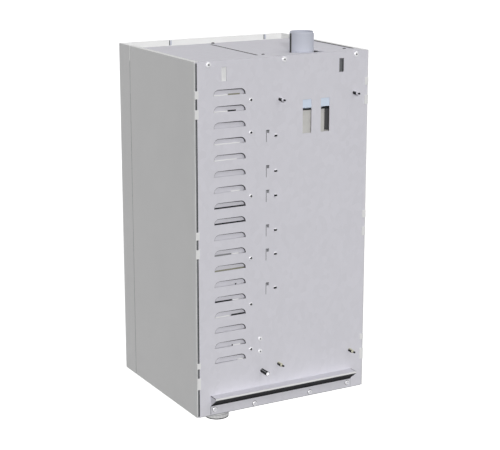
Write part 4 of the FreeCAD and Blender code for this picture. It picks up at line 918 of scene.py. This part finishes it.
def make_keys():
    """A symbol on each key, a collar round it, and two small lamps on the panel."""
    marks = {
        "button_down": ("key_down", [(-2.6, 1.4), (2.6, 1.4), (0, -2.4)]),
        "button_up": ("key_up", [(-2.6, -1.4), (2.6, -1.4), (0, 2.4)]),
        "button_mode": ("key_mode", [(-2.4, -2.4), (2.4, -2.4), (2.4, 2.4), (-2.4, 2.4)]),
    }
    collars, lamps = Shape(), Shape()
    for node, (body, points) in marks.items():
        low, _, middle = box_of(node)
        shape = Shape()
        shape.loft([[(x, y, height) for x, y in points] for height in (-0.1, 0.25)], 0,
                   facing("-y", middle.x, low.y, middle.z))
        shape.build(node + "_mark", body, "grey_plastic")
        collars.hoop([(6.6, 0), (6.6, 0.7), (7, 1), (8, 1), (8.6, 0.6), (8.8, 0)], 0,
                     facing("-y", middle.x, FASCIA_FACE, middle.z), 40)
    collars.build("key_collars", "door", "grey_plastic")
    height = box_of("button_mode")[2].z
    for slot in (0, 1):
        place = facing("-y", 4 + 11 * slot, FASCIA_FACE, height)
        lamps.turn([(1.9, -0.1), (1.9, 0.3), (1.6, 0.8), (0.9, 1.2), (0.3, 1.3)], slot, place, 24)
        lamps.hoop([(2, 0), (2, 0.5), (2.6, 0.5), (2.8, 0)], 2, place, 24)
    lamps.build("panel_lamps", "door", "red_plastic", "circuit_board", "grey_plastic")


def make_knob_insert():
    """The knob's cap and its pointer."""
    low, _, middle = box_of("temperature_knob")
    place = facing("-y", middle.x, low.y, middle.z)
    shape = Shape()
    shape.turn([(11.5, -0.2), (11.5, 0.3), (10.8, 0.7), (6, 0.9), (2, 1)], 1, place, 48)
    shape.block((-0.8, 8.5, 0.2), (0.8, 17.6, 0.5), 0.2, 0, place)
    shape.block((-0.8, 17.3, -9), (0.8, 19.25, 0.4), 0.25, 0, place)
    shape.build("knob_pointer", "knob", "light_plastic", "grey_plastic")


def make_switch_handle(place, reach, root):
    """The main switch's boss and rounded handle, from root behind the plate to its reach in front."""
    shape = Shape()
    shape.turn([(4, root), (4, 0.2), (17.2, 0.4), (18, 1.2), (18, 3.6), (16.6, 5.2), (9, 5.8), (1, 5.9)],
               0, place, 56)
    half_wide, half_long = 4.4, 16.2
    straight = half_long - half_wide
    outline = arc(0, straight, half_wide, 0, 180, 8) + arc(0, -straight, half_wide, 180, 180, 8)
    rings = []
    for grow, height in ((0.7, 4.6), (0.25, 8), (0, reach - 2.4), (-0.5, reach - 0.9),
                         (-1.7, reach - 0.1)):
        wide, long = 1 + grow / half_wide, 1 + grow / half_long
        rings.append([(x * wide, y * long, height) for x, y in outline])
    shape.loft(rings, 0, place)
    shape.block((-0.6, 5, reach - 0.2), (0.6, 14.5, reach - 0.02), 0.08, 1, place)
    shape.stand_in("main_switch_handle", "switch_handle", "red_plastic", "light_plastic")


def make_switch_plate(place):
    """The plate behind the main switch's handle, with its two positions and four screws."""
    half, label, corner = 22.6, 21, 18
    shape = Shape()
    shape.loft([[(x, y, height) for x, y in rounded(0, 0, half - cut, half - cut, 4)]
                for cut, height in ((0, -0.1), (0, 0.5), (0.5, 0.9), (3.6, 0.9))], 0, place)
    shape.turn([(19, 0.8), (19, 1.3), (20, 1.3), (20.4, 0.8)], 0, place, 56, caps=False)
    for text, x, y in (("0", 0, label), ("I", label, 0)):
        shape.lettering(text, 3.4, place @ Matrix.Translation((x, y, 1)), 1)
    for x, y in CORNERS:
        screw = place @ Matrix.Translation((x * corner, y * corner, 0.6))
        pan_head(shape, screw, 2.1, 1.1, 1, 0.5, cross(0.62, 0.16), 1, 0)
    shape.build("main_switch_plate", "door", "black_plastic", "light_plastic")


def make_switch_terminals(low, high):
    """Joint lines round the main switch's body, and the screws and terminals on its inner end."""
    shape = Shape()
    for y in (high.y - 34, high.y - 22, high.y - 10):
        for edge in (low.x, high.x):
            shape.block((edge - 0.12, y - 0.5, low.z + 2), (edge + 0.12, y + 0.5, high.z - 2), 0.05, 1)
        for edge in (low.z, high.z):
            shape.block((low.x + 2, y - 0.5, edge - 0.12), (high.x - 2, y + 0.5, edge + 0.12), 0.05, 1)
    for x in (low.x + 7, high.x - 7):
        for z in (low.z + 7, high.z - 7):
            pan_head(shape, facing("+y", x, high.y, z), 3.2, 1.8, 2, 0.5, cross(0.65, 0.16))
    for x in (low.x + 16, high.x - 16):
        shape.block((x - 4, high.y - 0.1, low.z + 12), (x + 4, high.y + 1.6, high.z - 12), 0.6, 1)
    shape.build("main_switch_terminals", "door", "zinc_steel", "black_plastic")


def make_main_switch():
    """The main switch, dressed in front of the door and behind it."""
    low, high, middle = box_of("main_switch_handle")
    body_low, body_high, _ = box_of("main_switch_body")
    face = body_low.y
    place = facing("-y", middle.x, face, middle.z)
    make_switch_handle(place, face - low.y, face - high.y)
    make_switch_plate(place)
    make_switch_terminals(body_low, body_high)


def make_lock():
    """A bezel round the lock and its key slot."""
    low, _, middle = box_of("door_lock")
    z = low.z + 11
    shape = Shape()
    shape.hoop([(11.1, 0), (11.1, 1.6), (11.6, 2.1), (13, 2.1), (14, 1.4), (14.3, 0)], 0,
               facing("-y", middle.x, DOOR_LOW.y, z), 48)
    shape.build("lock_bezel", "door", "black_plastic")
    place = facing("-y", middle.x, low.y, z)
    shape = Shape()
    shape.turn([(6.5, -0.05), (6.5, 0.35), (6.1, 0.5), (5.6, 0.2), (5.5, 0.1)], 0, place, 40)
    shape.pad(place, 0.9, 4.3, 0, 0.45, 0.2, 1)
    shape.build("lock_face", "lock", "zinc_steel", "black_plastic")


def make_door_inside():
    """Two stiffening profiles and their rows of spot welds inside the door."""
    hat = [(-16, 0), (-10.5, 0), (-7, 9), (-6, 9.8), (6, 9.8), (7, 9), (10.5, 0), (16, 0),
           (16, 1), (11, 1), (7.8, 9.6), (6.4, 10.8), (-6.4, 10.8), (-7.8, 9.6), (-11, 1), (-16, 1)]
    shape = Shape()
    for middle in (-150, 150):
        shape.loft([[(middle + x, DOOR_INSIDE + y, z) for x, y in hat]
                    for z in (level(60), level(560))])
        for step in range(9):
            for edge in (-13.4, 13.4):
                place = facing("+y", middle + edge, DOOR_INSIDE + 1, level(80 + 57.5 * step))
                shape.turn([(1.9, -0.05), (1.9, 0.12), (1.2, 0.25), (0.2, 0.12)], 0, place, 16)
    shape.build("door_stiffeners", "door", "galvanised_sheet")


def make_hinge_screws():
    """Two screws in each hinge leaf, on the cabinet's side and on the door's."""
    face, apart = -219, 20
    hinges = [middle.z for _, _, middle in boxes_of("hinge_door_leaves")]
    for body, y in (("cabinet", -309.5), ("door", -339.5)):
        shape = Shape()
        for hinge in hinges:
            for side in BOTH:
                place = facing("-x", face, y, hinge + apart * side)
                pan_head(shape, place, 3.1, 1.8, 1.5, 1.2, cross(0.6, 0.15))
        shape.build("hinge_screws_" + body, body, "zinc_steel", "dark_steel")


make_dial()
make_display()
make_keys()
make_knob_insert()
make_main_switch()
make_lock()
make_door_inside()
make_hinge_screws()


# Inside of the cabinet

def terminal_screws(shape, radius, x, spots):
    """Screws that face +X at each (y, z) spot."""
    for y, z in spots:
        place = facing("+x", x, y, z)
        pan_head(shape, place, radius, radius * 0.6, radius * 0.5, 0.8, cross(0.7, 0.16))


def make_device_details():
    """Terminal screws, pole lines, marking plates and indicators of the clipped-on devices."""
    dark, light, red, grey = 1, 2, 3, 4
    shape = Shape()
    for number in (1, 2, 3):
        low, high, middle = box_of("contactor_%d" % number)
        front = facing("+x", high.x, middle.y, middle.z)
        share = (high.y - low.y) / 4
        terminal_screws(shape, 2.6, high.x - 18.9, [
            (low.y + share * step, middle.z + 33 * side) for side in BOTH for step in (1, 2, 3)])
        shape.pad(front, 21, 17, -0.05, 0.9, 0.5, light)
        shape.pad(front, 6, 9, 0.8, 2.2, 0.6, dark)
        shape.pad(front, 2, 3, 2.1, 2.9, 0.4, red)
        for z in (-15.5, 15.5):
            shape.block((z - 0.5, -14, 0.8), (z + 0.5, 14, 1.1), 0.1, dark, front)

    low, high, middle = box_of("breaker")
    pole = (high.y - low.y) / 3
    for y in (low.y + pole, low.y + 2 * pole):
        for side in BOTH:
            line = facing("+x", high.x, y, middle.z + 16.75 * side)
            shape.pad(line, 10.75, 0.3, -0.1, 0.12, 0.05, dark)
    spots = [(low.y + pole * (step + 0.5), middle.z + 35 * side) for step in range(3) for side in BOTH]
    shoulder = high.x - 14
    terminal_screws(shape, 3, shoulder, spots)
    for y, z in spots:
        place = facing("+x", shoulder, y, z)
        shape.hoop([(4.2, 0), (4.2, 0.25), (3.3, 0.25), (3.3, 0)], dark, place, 24)

    low, high, middle = box_of("terminal_block")
    share = (high.y - low.y) / 5
    terminal_screws(shape, 4.2, high.x - 7.9, [
        (low.y + share * (step + 0.5), middle.z + 11.5 * side) for step in range(5) for side in BOTH])
    for step in range(1, 5):
        wall = facing("+x", high.x, low.y + share * step, middle.z)
        shape.pad(wall, (high.z - low.z) / 2 - 0.5, 0.7, -0.1, 2.4, 0.3, grey)

    low, high, middle = box_of("temperature_limiter")
    shape.hoop([(6.2, -0.05), (6.2, 1.2), (7.6, 1.6), (9.4, 1.2), (9.8, -0.05)], light,
               facing("+x", high.x, middle.y, middle.z), 36)
    terminal_screws(shape, 2.6, high.x, [(middle.y + 18 * y, middle.z + 18 * z) for y, z in CORNERS])
    shape.build("device_details", "cabinet", "zinc_steel", "black_plastic", "light_plastic",
                "red_plastic", "grey_plastic")


def make_board_parts():
    """Capacitors, chips, connectors and solder points on the control board."""
    face = DOOR_INSIDE + 13.6
    dark, metal, light, blue = 1, 2, 3, 4
    shape = Shape()
    capacitors = ((-70, -75, 6, 14), (-52, -73, 5, 12), (-70, -95, 4, 9), (30, -72, 3.2, 7),
                  (40, -72, 3.2, 7))
    chips = ((0, -82, 22, 9, 3.2), (44, -104, 12, 12, 2), (-30, -104, 16, 7, 2.4))
    for x, z, radius, tall in capacitors:
        place = facing("+y", x, face, z)
        shape.turn([(radius, -0.05), (radius, 0.6), (radius - 0.4, 1.1), (radius, 1.7),
                    (radius, tall - 0.8), (radius - 0.7, tall), (0.4, tall)], dark, place, 28)
        shape.turn([(radius - 1.2, tall - 0.1), (radius - 1.2, tall + 0.12), (0.4, tall + 0.12)],
                   metal, place, 28)
    for x, z, wide, high, tall in chips:
        shape.pad(facing("+y", x, face, z), wide / 2, high / 2, -0.05, tall, 0.4, dark)
        for step in range(int(wide / 2.4)):
            pin = x - wide / 2 + 1.6 + 2.4 * step
            for side in BOTH:
                place = facing("+y", pin, face, z + side * (high / 2 + 0.8))
                shape.pad(place, 0.4, 0.9, -0.05, 0.6, 0.15, metal)
    for x in (-66, -44, 55):
        plug = facing("+y", x, face, -139)
        shape.pad(plug, 9, 5, -0.05, 9, 0.6, light)
        for pin in (-6, -2, 2, 6):
            shape.pad(plug @ Matrix.Translation((pin, 0, 0)), 0.7, 2.5, 8.8, 9.3, 0.2, dark)
    for x in (62, 74):
        shape.pad(facing("+y", x, face, -83), 4, 9, -0.05, 11, 0.6, blue)
    for row in range(4):
        for column in range(9):
            x, z = -24 + 6 * column, -120 - 5 * row
            if abs(x) > 17 or z > -124:
                shape.turn([(0.9, -0.05), (0.8, 0.3), (0.2, 0.5)], metal, facing("+y", x, face, z), 12)
    shape.build("board_parts", "door", "circuit_board", "black_plastic", "zinc_steel", "light_plastic",
                "blue_plastic")


def make_heater_fittings():
    """Six-sided heater plugs and ribbed heater caps."""
    plugs, caps = Shape(), Shape()
    for low, high, middle in boxes_of("heater_plugs"):
        radius, tall = (high.x - low.x) / 2, high.z - low.z
        place = facing("+z", middle.x, middle.y, high.z)
        plugs.turn([(radius * 0.8, -tall), (radius * 0.8, -12)], 0, place, 40)
        plugs.turn([(radius * 0.93, -12), (radius, -11.2), (radius, -0.8), (radius * 0.95, 0)],
                   0, place, 6)
    for low, high, middle in boxes_of("heater_caps"):
        radius, tall = (high.x - low.x) / 2, high.z - low.z
        place = facing("+z", middle.x, middle.y, low.z)
        caps.turn([(radius * 0.98, 0), (radius, 1), (radius, 8), (radius * 0.97, 9, 0.8),
                   (radius * 0.95, tall - 4, 0.8), (radius * 0.9, tall - 1.6), (radius * 0.82, tall)],
                  0, place, 18 * RIB_POINTS)
        caps.turn([(3.4, tall - 0.1), (3.4, tall + 0.02)], 1, place, 24)
    plugs.stand_in("heater_plugs", "cabinet", "valve_brass")
    caps.stand_in("heater_caps", "cabinet", "black_plastic", "grey_plastic")


def make_jacket_straps():
    """Three straps round the insulating jacket, each with a buckle."""
    low, high, middle = box_of("tank_jacket")
    radius = (high.x - low.x) / 2
    shape = Shape()
    for height in (180, 360, 540):
        place = facing("+z", middle.x, middle.y, level(height))
        shape.turn([(radius - 0.3, -5), (radius + 0.7, -4.6), (radius + 0.7, 4.6), (radius - 0.3, 5)],
                   0, place, 96, caps=False)
        buckle = place @ Matrix.Rotation(math.radians(-120), 4, "Z")
        shape.block((radius - 0.2, -9, -6.5), (radius + 2.4, 9, 6.5), 0.8, 1, buckle)
    shape.build("jacket_straps", "cabinet", "grey_plastic", "black_plastic")


def make_tank_welds():
    """The rippled weld seam near each end of the tank."""
    low, high, _ = box_of("tank_shell")
    place = upright(box_of("tank_jacket")[2])
    tank_radius, count, ripple = 101.6, 240, 0.25
    shape = Shape()
    for z in (low.z + 6, high.z - 6):
        rings = []
        for height, bulge in ((-1.9, -0.2), (-1, 0.8), (0, 1.2), (1, 0.8), (1.9, -0.2)):
            reach, wave = tank_radius + bulge, ripple if bulge > 0 else 0
            reaches = [reach + wave * math.sin(index * 1.9) for index in range(count)]
            rings.append(ring(reaches, z + height))
        shape.loft(rings, 0, place, caps=False)
    shape.build("tank_welds", "cabinet", "tank_steel")


make_device_details()
make_board_parts()
make_heater_fittings()
make_jacket_straps()
make_tank_welds()


# Floor, light and camera, in metres

def emptied(data):
    """The node tree of a world or material, with nothing in it."""
    data.use_nodes = True
    data.node_tree.nodes.clear()
    return data.node_tree


def show(tree, kind, plain, seen):
    """Ends a tree: seen is what the camera, reflections and glass look at, plain the rest."""
    total = add_node(tree, "ShaderNodeLightPath", "Is Camera Ray", {})
    for name in ("Is Glossy Ray", "Is Transmission Ray"):
        other = add_node(tree, "ShaderNodeLightPath", name, {})
        total = add_node(tree, "ShaderNodeMath", 0, {0: total, 1: other}, operation="MAXIMUM")
    mix = add_node(tree, "ShaderNodeMixShader", 0, {0: total, 1: plain, 2: seen})
    add_node(tree, kind, None, {"Surface": mix})


def make_world():
    """Faint light from all round, and white where the camera looks past the floor."""
    world = bpy.data.worlds.new("studio")
    bpy.context.scene.world = world
    tree = emptied(world)
    white = (1, 1, 1, 1)
    faint, full = (add_node(tree, "ShaderNodeBackground", 0, {"Color": white, "Strength": strength})
                   for strength in (0.3, 1))
    show(tree, "ShaderNodeOutputWorld", faint, full)


def make_floor():
    """A wide floor below the boiler: dim to the light that it throws back, pale to look at."""
    half, height, glow = 30, -1.6, 0.6
    mesh = bpy.data.meshes.new("floor")
    mesh.from_pydata([(half * x, half * y, height) for x, y in CORNERS], [], [(0, 1, 2, 3)])
    floor = put("floor", mesh)
    material = bpy.data.materials.new("floor")
    tree = emptied(material)
    dim, pale = (add_node(tree, "ShaderNodeBsdfDiffuse", 0, {"Color": (grey, grey, grey, 1)})
                 for grey in (0.2, 0.9))
    light = add_node(tree, "ShaderNodeEmission", 0, {"Strength": glow})
    both = add_node(tree, "ShaderNodeAddShader", 0, {0: pale, 1: light})
    show(tree, "ShaderNodeOutputMaterial", dim, both)
    mesh.materials.append(material)


def make_lamp(name, direction, energy, softness):
    """A distant lamp that shines from the given direction; softness is its width in degrees."""
    light = bpy.data.lights.new(name, "SUN")
    light.energy = energy
    light.angle = math.radians(softness)
    put(name, light).rotation_euler = Vector(direction).to_track_quat("Z", "Y").to_euler()


def make_camera():
    """A long lens, behind the boiler and a little above its middle."""
    data = bpy.data.cameras.new("camera")
    data.lens = 101.568
    data.sensor_width = 36
    camera = put("camera", data)
    camera.location = (1.53624, 2.61186, 0.41969)
    camera.rotation_euler = (math.radians(75.819), 0, math.radians(150.930))
    bpy.context.scene.camera = camera


make_world()
make_floor()
make_lamp("back_lamp", (0.36, 0.893, 0.27), 1.56, 6)
make_lamp("top_lamp", (-0.30, 0.50, 0.80), 0.45, 35)
make_lamp("side_lamp", (-0.78, -0.62, 0.08), 1.2, 12)
make_lamp("door_lamp", (0.05, -0.955, 0.29), 0.72, 20)
make_camera()
bpy.context.scene.view_settings.view_transform = "Standard"
